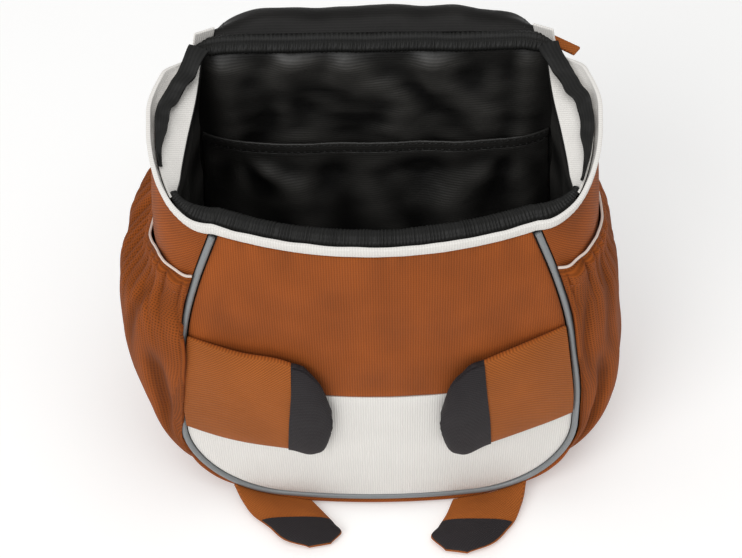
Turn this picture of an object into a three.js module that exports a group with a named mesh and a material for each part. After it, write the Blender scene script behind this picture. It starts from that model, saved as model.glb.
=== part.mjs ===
// A small child's backpack with its lid thrown back, so that the open top shows.
// Millimetres. X runs to the viewer's right, the front faces -Y, Z is up, and the bag stands on its base.
// "left" and "right" are the viewer's, looking at the front.
import * as THREE from 'three';
import { LoftGeometry } from 'three/addons/geometries/LoftGeometry.js';
import { mergeGeometries, mergeVertices } from 'three/addons/utils/BufferGeometryUtils.js';

const { lerp, smoothstep, clamp } = THREE.MathUtils;

// Colours of the cloths and fittings
const BROWN = 0x8a4b28;
const WHITE = 0xdcd8d4;
const BLACK = 0x2b2a28;
const LINING_BLACK = 0x1b1918;
const GREY = 0x7e7f7d;

// Heights and depths of the body
const RIM_Z = 240;
const BACK_RIM_Z = 247;
const FRONT_BOTTOM_Z = 7;
const FRONT_CORNER = 56;
const BACK_CORNER = 46;
const BACK_Y = 70;
const BELLY_SEAM_Z = 121;

// Cloth thicknesses, the gap kept between pieces, and the room left for the piping
const SHELL = 2;
const LINING = 1.2;
const GAP = 0.35;
const EDGE = 2.9;
const SIDE_EDGE = 3.3;
const SEAT = 0.9;
const PIPING_RADIUS = 2.2;

// Share of a side's length that is straight before its bottom corner begins
const STRAIGHT = 0.72;
// Share of the depth over which the base comes down to the floor behind the front seam
const BASE_RISE = 0.15;
// Share of a panel's rows that its rounded bottom corners take
const ROUNDED_SHARE = 0.55;
// Shares of the front's width and of its seams that the piping and rim are drawn through
const PIPING_START = 0.006;
const PIPING_BOTTOM = 0.75;
const RIM_FRONT = 0.8;

// Front panel by height: half width, place of its middle in depth, and how far the piping lies behind that
const FRONT_ROWS = [
  { z: 7, half: 115.5, centre: -74, sag: 18 },
  { z: 65, half: 115.5, centre: -77, sag: 19 },
  { z: 100, half: 114, centre: -77.5, sag: 19 },
  { z: 135, half: 109.5, centre: -77.5, sag: 18.5 },
  { z: 170, half: 104, centre: -76.5, sag: 18 },
  { z: 205, half: 95, centre: -75.5, sag: 17 },
  { z: 240, half: 83, centre: -73, sag: 16.5 },
];

// Back panel by height: half width
const BACK_ROWS = [
  { z: 0, half: 112 },
  { z: 46, half: 112 },
  { z: 100, half: 111 },
  { z: 150, half: 108 },
  { z: 200, half: 104 },
  { z: 247, half: 99 },
];

// Side by its run from the rim to the base: how far it swells past the line from front to back
const SIDE_ROWS = [
  { run: 0, swell: 28 },
  { run: 0.14, swell: 20.5 },
  { run: 0.28, swell: 14.5 },
  { run: 0.43, swell: 10.5 },
  { run: 0.57, swell: 7.5 },
  { run: 0.72, swell: 6 },
  { run: 0.86, swell: 3.5 },
  { run: 1, swell: 0 },
];
const SIDE_SKEW = 0.87;
const SIDE_FULLNESS = 0.55;

// Lining side at the mouth, by its run from front to back: how far it stands out from a straight line
const LINING_ROWS = [
  { run: 0, out: 0 },
  { run: 0.05, out: 12.5 },
  { run: 0.15, out: 22 },
  { run: 0.3, out: 19.5 },
  { run: 0.5, out: 14 },
  { run: 0.75, out: 6 },
  { run: 1, out: 0 },
];
const LINING_SLACK = 5;
const LINING_SETTLED = 0.2;
const LINING_FRONT_INSET = 6;
const LINING_BACK_INSET = 3.6;
const LINING_DROP = 2.6;
const LINING_SEAM = 0.004;
const LINING_BASE_FRONT = 0.02;
const LINING_BASE_BACK = 0.99;

// Rim band and the gathered channels inside it
const BAND_THICK = 2.4;
const BAND_TALL = 8.6;
const BAND_LEAN = 2;
const RIM_END = 0.955;
const CHANNEL_RADIUS = 4.4;
const CHANNEL_FRONT_SHARE = 0.24;
const SIDE_CHANNEL_WIDE = 8.5;
const SIDE_CHANNEL_THICK = 2.2;
const SIDE_CHANNEL_START = 0.02;
const SIDE_CHANNEL_END = 0.234;
const SIDE_CHANNEL_RISE = 0.75;
const SIDE_CHANNEL_FALL = 0.2;
const COLLAR_RISE = 0.3;
const COLLAR_BACK = 0.97;
const COLLAR_FRONT = 0.2;
const BACK_CHANNEL_HALF = 92.4;
const BACK_CHANNEL_LONG = 9;
const BACK_CHANNEL_TALL = 4.3;
const BACK_CHANNEL_WAIST = 0.25;
const BACK_CHANNEL_CREASE = 2.5;
const BACK_CHANNEL_Y = 69;
const BACK_CHANNEL_Z = 250.8;

// Inner pocket on the back lining by height: how far it stands off the lining, and its half width
const INNER_ROWS = [
  { z: 22, off: 2, half: 84 },
  { z: 45, off: 9, half: 96 },
  { z: 90, off: 14, half: 99 },
  { z: 140, off: 13, half: 96 },
  { z: 177, off: 10, half: 92 },
];
const INNER_FOLDS = 5;
const INNER_FOLD_DEPTH = 1.6;
const INNER_HEM_TALL = 8;
const INNER_HEM_PROUD = 0.3;

// Side pockets by height: how far each stands off the side of the bag
const POCKET_ROWS = [
  { z: 14, left: 6, right: 6 },
  { z: 35, left: 17, right: 16 },
  { z: 65, left: 23, right: 22 },
  { z: 100, left: 26.5, right: 22.5 },
  { z: 135, left: 26.5, right: 19 },
  { z: 170, left: 23, right: 15.5 },
  { z: 190, left: 16, right: 12.5 },
  { z: 205, left: 9.5, right: 9.5 },
];
const POCKET_TOP_Z = 205;
const POCKET_THICK = 1.6;
const POCKET_END = 0.9;
const POCKET_CLOSING = 0.88;
const POCKET_FULLNESS = 4;
const POCKET_FRONT = 4.4;
const POCKET_BACK = 6;
const HEM_RADIUS = 1.2;
const HEM_START = 0.02;

// Arms by their run from the piping to the tip: height of the middle and half width
const ARM_LEFT_ROWS = [
  { run: 0, middle: 114, half: 44 },
  { run: 0.35, middle: 114, half: 42.5 },
  { run: 0.72, middle: 113.5, half: 41.5 },
  { run: 0.87, middle: 109.5, half: 39 },
  { run: 0.95, middle: 106, half: 28.5 },
  { run: 1, middle: 104, half: 9 },
];
const ARM_RIGHT_ROWS = [
  { run: 0, middle: 122, half: 42 },
  { run: 0.35, middle: 119, half: 40.5 },
  { run: 0.64, middle: 113, half: 40.5 },
  { run: 0.845, middle: 106, half: 39.5 },
  { run: 0.955, middle: 103, half: 26 },
  { run: 1, middle: 100, half: 8 },
];
const ARM_LIFT_ROWS = [
  { run: 0, lift: 3.6, under: 0.4 },
  { run: 0.25, lift: 8, under: 1 },
  { run: 0.7, lift: 9.5, under: 2 },
  { run: 1, lift: 8, under: 3 },
];
const ARM_LEFT_TIP_X = 26;
const ARM_RIGHT_TIP_X = 35;
const PAW_LEFT_START = 0.72;
const PAW_RIGHT_START = 0.64;
const PATCH = 1.1;
const PAW_END = 0.985;
const PAW_WIDE = 0.93;
const ARM_ROUNDING = 0.4;

// Feet by their run from the seam to the tip: places of the outer and inner edge on the floor
const FOOT_LEFT_ROWS = [
  { run: 0, outerX: 88, outerY: -65.5, innerX: 42, innerY: -73.5 },
  { run: 0.3, outerX: 80, outerY: -81, innerX: 34, innerY: -82.5 },
  { run: 0.6, outerX: 67.5, outerY: -92, innerX: 27.5, innerY: -90.5 },
  { run: 0.85, outerX: 55.5, outerY: -102, innerX: 24, innerY: -97 },
  { run: 1, outerX: 43, outerY: -105, innerX: 30, innerY: -102.5 },
];
const FOOT_RIGHT_ROWS = [
  { run: 0, outerX: 88, outerY: -65.5, innerX: 45, innerY: -73.5 },
  { run: 0.3, outerX: 84, outerY: -83.5, innerX: 40, innerY: -84.5 },
  { run: 0.6, outerX: 77, outerY: -95, innerX: 35, innerY: -93 },
  { run: 0.85, outerX: 65, outerY: -106, innerX: 31, innerY: -101 },
  { run: 1, outerX: 52, outerY: -110, innerX: 39, innerY: -108 },
];
const FOOT_TOP = 8.5;
const FOOT_TIP_TOP = 6;
const FOOT_ROOT_THICK = 2.6;
const FOOT_FLOOR = 0.4;
const FOOT_SETTLED = 0.4;
const FOOT_TIP_START = 0.7;
const FOOT_ROUNDING = 0.35;
const TOE_START = 0.48;
const TOE_END = 0.97;
const TOE_INSET = 0.06;

// Lid by its run from the hinge over the back and down: depth, height, half width, droop at the edges
const LID_ROWS = [
  { run: 0, y: 78.6, z: 251, half: 86, droop: 1 },
  { run: 0.05, y: 88, z: 256.5, half: 87, droop: 3 },
  { run: 0.1, y: 97, z: 255, half: 88, droop: 6 },
  { run: 0.17, y: 105, z: 244, half: 90, droop: 8 },
  { run: 0.3, y: 110, z: 215, half: 95, droop: 7 },
  { run: 0.5, y: 112, z: 172, half: 99, droop: 6 },
  { run: 0.7, y: 112.5, z: 130, half: 98, droop: 6 },
  { run: 0.85, y: 112, z: 98, half: 88, droop: 5 },
  { run: 0.95, y: 111, z: 76, half: 66, droop: 4 },
  { run: 1, y: 110, z: 65, half: 38, droop: 2 },
];
const LID_COVER = 3;
const LID_SEAT = 1.15;
const LID_TURN_START = 0.05;
const LID_TURN_END = 0.17;

// White corner pieces, from the end of the rim band to the lid
const CORNER_THICK = 1.6;
const CORNER_TALL = 11;
const CORNER_TAPER = 0.5;
const CORNER_LEAN = 2;
const CORNER_RIM = { x: 102, y: 72, z: 248.5 };
const CORNER_LID = { x: 90.5, y: 84, z: 249.5 };

// Shoulder straps, their webbing and adjusters, and the grab loop
const STRAP_ROWS = [
  { run: 0, x: 34, y: 84.2, z: 226, half: 19 },
  { run: 0.2, x: 36, y: 96, z: 204, half: 22 },
  { run: 0.5, x: 41, y: 101, z: 166, half: 22 },
  { run: 0.8, x: 49, y: 100, z: 128, half: 20 },
  { run: 1, x: 54, y: 97, z: 104, half: 15 },
];
const STRAP_THICK = 6;
const WEB_ROWS = [
  { run: 0, x: 53, y: 90.7, z: 112 },
  { run: 0.12, x: 55, y: 89.4, z: 103 },
  { run: 0.35, x: 61, y: 88.5, z: 84 },
  { run: 0.7, x: 74, y: 84.5, z: 56 },
  { run: 1, x: 85, y: 79.6, z: 34 },
];
const WEB_HALF = 10;
const WEB_THICK = 1.6;
const WEB_TILT = 4;
const ADJUSTER_WIDE = 27;
const ADJUSTER_TALL = 20;
const ADJUSTER_THICK = 3.4;
const ADJUSTER_RIM = 3;
const ADJUSTER_RUN = 0.27;
const ADJUSTER_TOP_RUN = 0.12;
const ADJUSTER_TURN = 0.2;
const LOOP_SPAN = 28;
const LOOP_FOOT_Y = 76.6;
const LOOP_REACH = 14;
const LOOP_Z = 245;
const LOOP_HALF = 7;
const LOOP_THICK = 2.2;
const LOOP_FULLNESS = 0.6;
const PAD_MIDDLE = 8;
const PAD_EDGE = 5;
const PAD_SQUARENESS = 6;
const PAD_OVERLAP = 1.5;

// Small brown tab at the right end of the back rim
const TAB_LONG = 20;
const TAB_HALF = 3.4;
const TAB_THICK = 2;
const TAB_ROOT = { x: 101.9, y: 79.9, z: 243 };
const TAB_AHEAD = { x: 0.6, y: -0.8, z: 0 };
const TAB_ASIDE = { x: 0.8, y: 0.6, z: 0 };

const at = (x, y, z) => new THREE.Vector3(x, y, z);
const vector = ({ x, y, z }) => at(x, y, z);

// Smooth curves through a table: one function for each column after the first
function curves(rows) {
  const [key, ...columns] = Object.keys(rows[0]);
  const places = rows.map((row) => row[key]);
  const entries = columns.map((column) => {
    const values = rows.map((row) => row[column]);
    const spline = new THREE.CubicInterpolant(places, values, 1, [0]);
    return [column, (place) => spline.evaluate(clamp(place, places[0], places.at(-1)))[0]];
  });
  return Object.fromEntries(entries);
}

const front = curves(FRONT_ROWS);
const back = curves(BACK_ROWS);
const sides = curves(SIDE_ROWS);
const liningMouth = curves(LINING_ROWS);
const innerPocket = curves(INNER_ROWS);
const pocketSwell = curves(POCKET_ROWS);
const armLift = curves(ARM_LIFT_ROWS);
const lid = curves(LID_ROWS);
const strap = curves(STRAP_ROWS);
const web = curves(WEB_ROWS);

// One closed body from separate faces, turned so that its faces point out
function closedBody(faces) {
  const bare = faces.map((face) => {
    const copy = face.index ? face : mergeVertices(face);
    copy.deleteAttribute('uv');
    copy.deleteAttribute('normal');
    return copy;
  });
  const body = mergeVertices(mergeGeometries(bare), 1e-3);
  const place = body.getAttribute('position');
  const corners = [at(0, 0, 0), at(0, 0, 0), at(0, 0, 0)];
  const order = body.index.array;
  let volume = 0;
  for (let k = 0; k < order.length; k += 3) {
    corners.forEach((corner, n) => corner.fromBufferAttribute(place, order[k + n]));
    volume += corners[0].dot(corners[1].cross(corners[2]));
  }
  if (volume < 0) {
    order.reverse();
  }
  body.computeVertexNormals();
  return body;
}

// Direction that a surface faces at one place
function facing(face, u, v) {
  const step = 1e-3;
  const alongU = face(Math.min(u + step, 1), v).sub(face(Math.max(u - step, 0), v));
  const alongV = face(u, Math.min(v + step, 1)).sub(face(u, Math.max(v - step, 0)));
  return alongU.cross(alongV).normalize();
}

// A wall of cloth: face(u, v) is one side, and the other side lies `thickness` behind it
function wall(face, columns, rows, thickness) {
  const depth = typeof thickness === 'function' ? thickness : () => thickness;
  const near = [];
  const far = [];
  for (let j = 0; j <= rows; j += 1) {
    const places = Array.from({ length: columns + 1 }, (_, i) => i / columns);
    const v = j / rows;
    near.push(places.map((u) => face(u, v)));
    far.push(places.map((u) => face(u, v).addScaledVector(facing(face, u, v), -depth(u, v))));
  }
  const rings = near.map((row, j) => [...row, ...far[j].toReversed()]);
  return closedBody([
    new LoftGeometry(rings),
    new LoftGeometry([far[0], near[0]], { closed: false }),
    new LoftGeometry([near[rows], far[rows]], { closed: false }),
  ]);
}

// A round cord along a row of points
function cord(points, radius, steps, facets) {
  const circle = new THREE.EllipseCurve(0, 0, radius, radius).getPoints(facets);
  const section = new THREE.Shape(circle.slice(0, facets));
  const path = new THREE.CatmullRomCurve3(points);
  return closedBody([new THREE.ExtrudeGeometry(section, { steps, extrudePath: path })]);
}

// Evenly spread numbers from one value to another
const spread = (from, to, count) => Array.from({ length: count + 1 }, (_, k) => lerp(from, to, k / count));

// Closer spacing at both ends of a run
const ease = (u) => (1 - Math.cos(Math.PI * u)) / 2;

// Outer face of the front panel
const frontY = (x, z) => front.centre(z) + front.sag(z) * (x / front.half(z)) ** 2;

const FRONT_LINE = { half: front.half, top: RIM_Z, bottom: FRONT_BOTTOM_Z, corner: FRONT_CORNER };
const BACK_LINE = { half: back.half, top: BACK_RIM_Z, bottom: 0, corner: BACK_CORNER };

// The U-shaped outline of the front or back: down from the rim, then round the bottom corner
function outline(line, run, inset) {
  const bend = line.bottom + line.corner;
  if (run < STRAIGHT) {
    const z = lerp(line.top, bend, run / STRAIGHT);
    return { x: line.half(z) - inset, z, turn: 0 };
  }
  const turn = ((run - STRAIGHT) / (1 - STRAIGHT)) * (Math.PI / 2);
  const reach = line.corner - inset;
  return {
    x: line.half(bend) - line.corner + reach * Math.cos(turn),
    z: bend - reach * Math.sin(turn),
    turn,
  };
}

// A surface strung between the front and back outlines on the right-hand side
function strung(run, across, frontInset, frontBehind, backInset, backPlace, swell) {
  const a = outline(FRONT_LINE, run, frontInset);
  const b = outline(BACK_LINE, run, backInset);
  const settled = smoothstep(across, 0, BASE_RISE);
  const down = lerp(across, settled, a.turn / (Math.PI / 2));
  const x = lerp(a.x, b.x, across) + swell * Math.cos(a.turn);
  const y = lerp(frontY(a.x, a.z) + frontBehind, backPlace, across);
  const z = lerp(a.z, b.z, down) - swell * Math.sin(a.turn);
  return at(x, y, z);
}

// Rounded rise and fall of a side between its front and back seams
function arch(across) {
  const skewed = across ** SIDE_SKEW;
  return Math.max(4 * skewed * (1 - skewed), 0) ** SIDE_FULLNESS;
}

// Outer face of the side of the bag
function sidePoint(run, across) {
  return strung(run, across, 0, 0, 0, BACK_Y - GAP, sides.swell(run) * arch(across));
}

// First place across the side that is clear of its front or back seam by a distance
function clearOf(run, from, to, distance) {
  const seam = sidePoint(run, from);
  const places = spread(from, to, 400);
  return places.find((place) => sidePoint(run, place).distanceTo(seam) >= distance);
}

// Place in the run down the side that lies at a height
const runAt = (z) => ((RIM_Z - z) / (RIM_Z - FRONT_BOTTOM_Z - FRONT_CORNER)) * STRAIGHT;

// Inner face of the lining's side
function liningPoint(run, across) {
  const settled = smoothstep(run, 0, LINING_SETTLED);
  const low = Math.max(sides.swell(run) - LINING_SLACK, 0) * arch(across);
  const swell = lerp(liningMouth.out(across), low, settled);
  const behind = SHELL + SEAT + LINING;
  const rear = BACK_Y - LINING - 3 * GAP;
  const point = strung(run, across, LINING_FRONT_INSET, behind, LINING_BACK_INSET, rear, swell);
  point.z -= LINING_DROP * (1 - smoothstep(run, 0, STRAIGHT));
  return point;
}

const mirrored = (side, point) => at(point.x * side, point.y, point.z);

const bag = new THREE.Group();

function piece(name, geometry, color, roughness) {
  const material = new THREE.MeshStandardMaterial({ color, roughness, metalness: 0 });
  const mesh = new THREE.Mesh(geometry, material);
  mesh.name = name;
  bag.add(mesh);
}

// The front: a brown upper panel and a white belly below it
function frontRow(u, z, half) {
  const x = (2 * u - 1) * half;
  return at(x, frontY(x, z), z);
}

function upperFace(u, v) {
  const z = lerp(BELLY_SEAM_Z + GAP / 2, RIM_Z, v);
  return frontRow(u, z, front.half(z) - EDGE);
}

// Rows of a panel that ends in rounded bottom corners
function roundedRow(line, inset, v, top) {
  if (v < ROUNDED_SHARE) {
    const edge = outline(line, 1 - (v / ROUNDED_SHARE) * (1 - STRAIGHT), inset);
    return { z: edge.z, half: edge.x };
  }
  const z = lerp(line.bottom + line.corner, top, (v - ROUNDED_SHARE) / (1 - ROUNDED_SHARE));
  return { z, half: line.half(z) - inset };
}

function bellyFace(u, v) {
  const { z, half } = roundedRow(FRONT_LINE, EDGE, v, BELLY_SEAM_Z - GAP / 2);
  return frontRow(u, z, half);
}

piece('front_upper', wall(upperFace, 8, 6, SHELL), BROWN, 0.8);
piece('front_belly', wall(bellyFace, 8, 8, SHELL), WHITE, 0.85);

// The sides and the base: one gusset round the bag, in three lengths
function sideFace(side) {
  return (u, v) => {
    const start = clearOf(v, 0, 1, SIDE_EDGE);
    return mirrored(side, sidePoint(v, lerp(start, 1, ease(u))));
  };
}

piece('side_left', wall(sideFace(-1), 9, 10, SHELL), BROWN, 0.8);
piece('side_right', wall(sideFace(1), 9, 10, -SHELL), BROWN, 0.8);

function baseFace(u, v) {
  const start = clearOf(1, 0, 1, SIDE_EDGE);
  const edge = sidePoint(1, lerp(start, 1, ease(v)));
  const x = (2 * u - 1) * (edge.x - GAP);
  const ahead = frontY(x, FRONT_BOTTOM_Z) - frontY(edge.x, FRONT_BOTTOM_Z);
  return at(x, edge.y + ahead * (1 - ease(v)), edge.z);
}

piece('base', wall(baseFace, 7, 7, -SHELL), BROWN, 0.85);

// The back: a padded panel behind the gusset
const PANEL_LINE = {
  half: (z) => back.half(z) + PAD_OVERLAP,
  top: BACK_RIM_Z,
  bottom: GAP,
  corner: BACK_CORNER,
};

function backFace(u, v) {
  const { z, half } = roundedRow(PANEL_LINE, 0, v, BACK_RIM_Z);
  return at((2 * u - 1) * half, BACK_Y, z);
}

function backPad(u, v) {
  const fill = (1 - (2 * u - 1) ** PAD_SQUARENESS) * (1 - (2 * v - 1) ** PAD_SQUARENESS);
  return lerp(PAD_EDGE, PAD_MIDDLE, fill);
}

piece('back_panel', wall(backFace, 6, 8, backPad), BROWN, 0.85);

// Piping in the seam round the front
function pipingPoint(side, run) {
  const place = outline(FRONT_LINE, run, 0);
  return at(side * place.x, frontY(place.x, place.z), place.z);
}

const pipingRuns = spread(PIPING_START, 1, 22);
const pipingBottom = spread(-PIPING_BOTTOM, PIPING_BOTTOM, 5).map((share) => {
  const x = share * outline(FRONT_LINE, 1, 0).x;
  return at(x, frontY(x, FRONT_BOTTOM_Z), FRONT_BOTTOM_Z);
});
const pipingPath = [
  ...pipingRuns.map((run) => pipingPoint(-1, run)),
  ...pipingBottom,
  ...pipingRuns.toReversed().map((run) => pipingPoint(1, run)),
];
piece('front_piping', cord(pipingPath, PIPING_RADIUS, 48, 5), GREY, 0.45);

// The rim: a white band on the top edge of the front and sides
const rimAcross = spread(0, 1, 9).map((u) => ease(u) * RIM_END);
const rimFront = spread(-RIM_FRONT, RIM_FRONT, 8).map((share) => {
  const x = share * front.half(RIM_Z);
  return at(x, frontY(x, RIM_Z), RIM_Z);
});
const rimPath = new THREE.CatmullRomCurve3([
  ...rimAcross.toReversed().map((across) => mirrored(-1, sidePoint(0, across))),
  ...rimFront,
  ...rimAcross.map((across) => sidePoint(0, across)),
]);

// A place along the rim, moved in towards the middle of the mouth and up
function rimPoint(run, inward, rise) {
  const point = rimPath.getPointAt(run);
  const ahead = rimPath.getTangentAt(run);
  const inside = at(-ahead.y, ahead.x, 0).normalize();
  return point.addScaledVector(inside, inward).add(at(0, 0, rise));
}

const bandFace = (u, v) => rimPoint(u, -BAND_LEAN * v, GAP + v * BAND_TALL);
piece('rim_band', wall(bandFace, 40, 1, BAND_THICK), WHITE, 0.85);

// The drawcord channels: a gathered roll along the front and a gathered strip along each side
const channelInward = BAND_THICK + CHANNEL_RADIUS;
const channelPath = spread(CHANNEL_FRONT_SHARE, 1 - CHANNEL_FRONT_SHARE, 28).map((run) =>
  rimPoint(run, channelInward, GAP + CHANNEL_RADIUS));
piece('channel_front', cord(channelPath, CHANNEL_RADIUS, 24, 6), BLACK, 0.6);

function sideChannelFace(side) {
  return (u, v) => {
    const run = lerp(SIDE_CHANNEL_START, SIDE_CHANNEL_END, u);
    const rise = BAND_TALL * (SIDE_CHANNEL_RISE - SIDE_CHANNEL_FALL * v);
    return mirrored(-side, rimPoint(run, BAND_THICK + GAP + v * SIDE_CHANNEL_WIDE, rise));
  };
}

piece('channel_left', wall(sideChannelFace(-1), 12, 2, SIDE_CHANNEL_THICK), BLACK, 0.6);
piece('channel_right', wall(sideChannelFace(1), 12, 2, -SIDE_CHANNEL_THICK), BLACK, 0.6);

// White collar strips from the rim down to the taut side edges of the lining
function collarFace(side) {
  return (u, v) => {
    const run = lerp(SIDE_CHANNEL_START, SIDE_CHANNEL_END, u);
    const rim = mirrored(-1, rimPoint(run, BAND_THICK + SEAT, BAND_TALL * COLLAR_RISE));
    const edge = liningPoint(0, lerp(COLLAR_BACK, COLLAR_FRONT, u));
    edge.z += GAP + LINING;
    return mirrored(side, rim.lerp(edge, v));
  };
}

piece('collar_left', wall(collarFace(-1), 10, 2, LINING), WHITE, 0.85);
piece('collar_right', wall(collarFace(1), 10, 2, -LINING), WHITE, 0.85);

// The gathered channel on the back rim, with two ridges side by side
const ridgeAngles = spread(0, 2 * Math.PI, 12).slice(0, -1);
const ridgeRings = spread(-BACK_CHANNEL_HALF, BACK_CHANNEL_HALF, 10).map((x) =>
  ridgeAngles.map((angle) => {
    const pinch = 1 - BACK_CHANNEL_WAIST * Math.exp(-((BACK_CHANNEL_CREASE * Math.cos(angle)) ** 2));
    const y = BACK_CHANNEL_Y + BACK_CHANNEL_LONG * Math.cos(angle);
    return at(x, y, BACK_CHANNEL_Z + BACK_CHANNEL_TALL * pinch * Math.sin(angle));
  }));
const ridges = new LoftGeometry(ridgeRings, { capStart: true, capEnd: true });
piece('channel_back', closedBody([ridges]), BLACK, 0.6);

// The lining bag
function liningFrontFace(u, v) {
  const { z, half } = roundedRow(FRONT_LINE, LINING_FRONT_INSET + 2 * GAP + LINING, v, RIM_Z - GAP);
  const x = (2 * u - 1) * half;
  return at(x, frontY(x, z) + SHELL + SEAT, z);
}

function liningBackFace(u, v) {
  const inset = LINING_BACK_INSET + GAP + LINING;
  const { z, half } = roundedRow(BACK_LINE, inset, v, BACK_RIM_Z - GAP);
  return at((2 * u - 1) * half, BACK_Y - GAP - LINING, z);
}

function liningSideFace(side) {
  return (u, v) => mirrored(side, liningPoint(v, lerp(LINING_SEAM, 1 - LINING_SEAM, ease(u))));
}

function liningBaseFace(u, v) {
  const edge = liningPoint(1, lerp(LINING_BASE_FRONT, LINING_BASE_BACK, ease(v)));
  return at((2 * u - 1) * (edge.x - GAP), edge.y, edge.z);
}

piece('lining_front', wall(liningFrontFace, 6, 8, LINING), LINING_BLACK, 0.45);
piece('lining_back', wall(liningBackFace, 4, 8, LINING), LINING_BLACK, 0.45);
piece('lining_left', wall(liningSideFace(-1), 7, 8, -LINING), LINING_BLACK, 0.45);
piece('lining_right', wall(liningSideFace(1), 7, 8, LINING), LINING_BLACK, 0.45);
piece('lining_base', wall(liningBaseFace, 4, 5, LINING), LINING_BLACK, 0.45);

// The inner pocket on the back lining, with an elastic hem
const INNER_Y = BACK_Y - 2 * GAP - LINING;

function innerOff(u, z) {
  const across = 2 * u - 1;
  const fold = INNER_FOLD_DEPTH * Math.cos(across * Math.PI * INNER_FOLDS);
  return LINING + (innerPocket.off(z) + fold) * (1 - across ** 6);
}

function innerFace(u, v) {
  const z = lerp(INNER_ROWS[0].z, INNER_ROWS.at(-1).z, v);
  return at((2 * u - 1) * innerPocket.half(z), INNER_Y - innerOff(u, z), z);
}

function innerHemFace(u, v) {
  const edge = innerFace(u, 1);
  return at(edge.x, edge.y - INNER_HEM_PROUD, edge.z + GAP + v * INNER_HEM_TALL);
}

piece('inner_pocket', wall(innerFace, 18, 4, LINING), LINING_BLACK, 0.45);
piece('inner_pocket_hem', wall(innerHemFace, 18, 1, LINING), LINING_BLACK, 0.5);

// The side pockets, with a pale elastic trim along the hem
function pocketFace(side, key) {
  const skin = (u, v) => {
    const run = lerp(runAt(POCKET_TOP_Z), POCKET_END, v);
    const start = clearOf(run, 0, 1, POCKET_FRONT);
    const end = clearOf(run, 1, 0, POCKET_BACK);
    return sidePoint(run, lerp(start, end, ease(u)));
  };
  return (u, v) => {
    const base = skin(u, v);
    const fill = 1 - Math.abs(2 * ease(u) - 1) ** POCKET_FULLNESS;
    const seam = 2 * GAP + POCKET_THICK;
    const closing = 1 - smoothstep(v, POCKET_CLOSING, 1);
    const off = seam + (pocketSwell[key](base.z) - seam) * fill * closing;
    return mirrored(side, base.addScaledVector(facing(skin, u, v), -off));
  };
}

function pocket(side, key) {
  const face = pocketFace(side, key);
  const inward = POCKET_THICK / 2;
  const hem = spread(HEM_START, 1 - HEM_START, 16).map((u) => {
    const point = face(u, 0).addScaledVector(facing(face, u, 0), side * inward);
    return point.add(at(0, 0, HEM_RADIUS + GAP));
  });
  piece(`pocket_${key}`, wall(face, 10, 7, -side * POCKET_THICK), BROWN, 0.8);
  piece(`pocket_hem_${key}`, cord(hem, HEM_RADIUS, 16, 5), WHITE, 0.85);
}

pocket(-1, 'left');
pocket(1, 'right');

// The arms: stuffed flaps sewn into the piping seam, with a dark patch on the end of each
function arm(side, key, rows, tipX, pawStart) {
  const shape = curves(rows);
  const point = (run, across, share, proud) => {
    const z = shape.middle(run) + across * shape.half(run) * share;
    const x = lerp(front.half(z) - EDGE, tipX, run);
    const puff = 1 - ARM_ROUNDING * across ** 4;
    return at(side * x, frontY(x, z) - armLift.lift(run) * puff - proud, z);
  };
  const flap = (u, v) => point(v, 2 * u - 1, 1, 0);
  const stuffing = (u, v) => {
    const puff = 1 - ARM_ROUNDING * (2 * u - 1) ** 4;
    return armLift.lift(v) * puff - armLift.under(v);
  };
  const patch = (u, v) =>
    point(lerp(pawStart, PAW_END, v), 2 * u - 1, PAW_WIDE, SEAT + PATCH + GAP);
  piece(`arm_${key}`, wall(flap, 6, 8, (u, v) => side * stuffing(u, v)), BROWN, 0.8);
  piece(`paw_${key}`, wall(patch, 6, 5, side * PATCH), BLACK, 0.7);
}

arm(-1, 'left', ARM_LEFT_ROWS, ARM_LEFT_TIP_X, PAW_LEFT_START);
arm(1, 'right', ARM_RIGHT_ROWS, ARM_RIGHT_TIP_X, PAW_RIGHT_START);

// The feet: stuffed flaps sewn under the bottom seam, lying on the floor, with dark toes
function foot(side, key, rows) {
  const shape = curves(rows);
  const seamZ = (x) => {
    const past = Math.max(x - outline(FRONT_LINE, 1, 0).x, 0);
    const bend = FRONT_BOTTOM_Z + FRONT_CORNER;
    return bend - Math.sqrt(FRONT_CORNER ** 2 - past ** 2) - PIPING_RADIUS - GAP;
  };
  const point = (run, across, proud) => {
    const x = lerp(shape.outerX(run), shape.innerX(run), across);
    const y = lerp(shape.outerY(run), shape.innerY(run), across);
    const root = seamZ(lerp(shape.outerX(0), shape.innerX(0), across));
    const puff = 1 - FOOT_ROUNDING * (2 * across - 1) ** 4;
    const body = lerp(FOOT_TOP, FOOT_TIP_TOP, smoothstep(run, FOOT_TIP_START, 1)) * puff;
    return at(side * x, y, lerp(root, body, smoothstep(run, 0, FOOT_SETTLED)) + proud);
  };
  const top = (u, v) => point(v, u, 0);
  const stuffing = (u, v) => {
    const full = point(v, u, 0).z - FOOT_FLOOR;
    return lerp(FOOT_ROOT_THICK, full, smoothstep(v, 0, FOOT_SETTLED));
  };
  const toe = (u, v) =>
    point(lerp(TOE_START, TOE_END, v), lerp(TOE_INSET, 1 - TOE_INSET, u), SEAT + PATCH);
  piece(`foot_${key}`, wall(top, 6, 8, (u, v) => side * stuffing(u, v)), BROWN, 0.8);
  piece(`toe_${key}`, wall(toe, 6, 5, side * PATCH), BLACK, 0.7);
}

foot(-1, 'left', FOOT_LEFT_ROWS);
foot(1, 'right', FOOT_RIGHT_ROWS);

// The lid, thrown back: its black lining faces out and its brown cover lies under it
function lidPoint(u, v, start) {
  const run = lerp(start, 1, v);
  const across = 2 * u - 1;
  const droop = lid.droop(run) * across ** 4;
  const slope = smoothstep(run, LID_TURN_START, LID_TURN_END);
  const y = lid.y(run) - droop * slope;
  return at(across * lid.half(run), y, lid.z(run) - droop * (1 - slope));
}

const lidLiningFace = (u, v) => lidPoint(u, v, 0);

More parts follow.
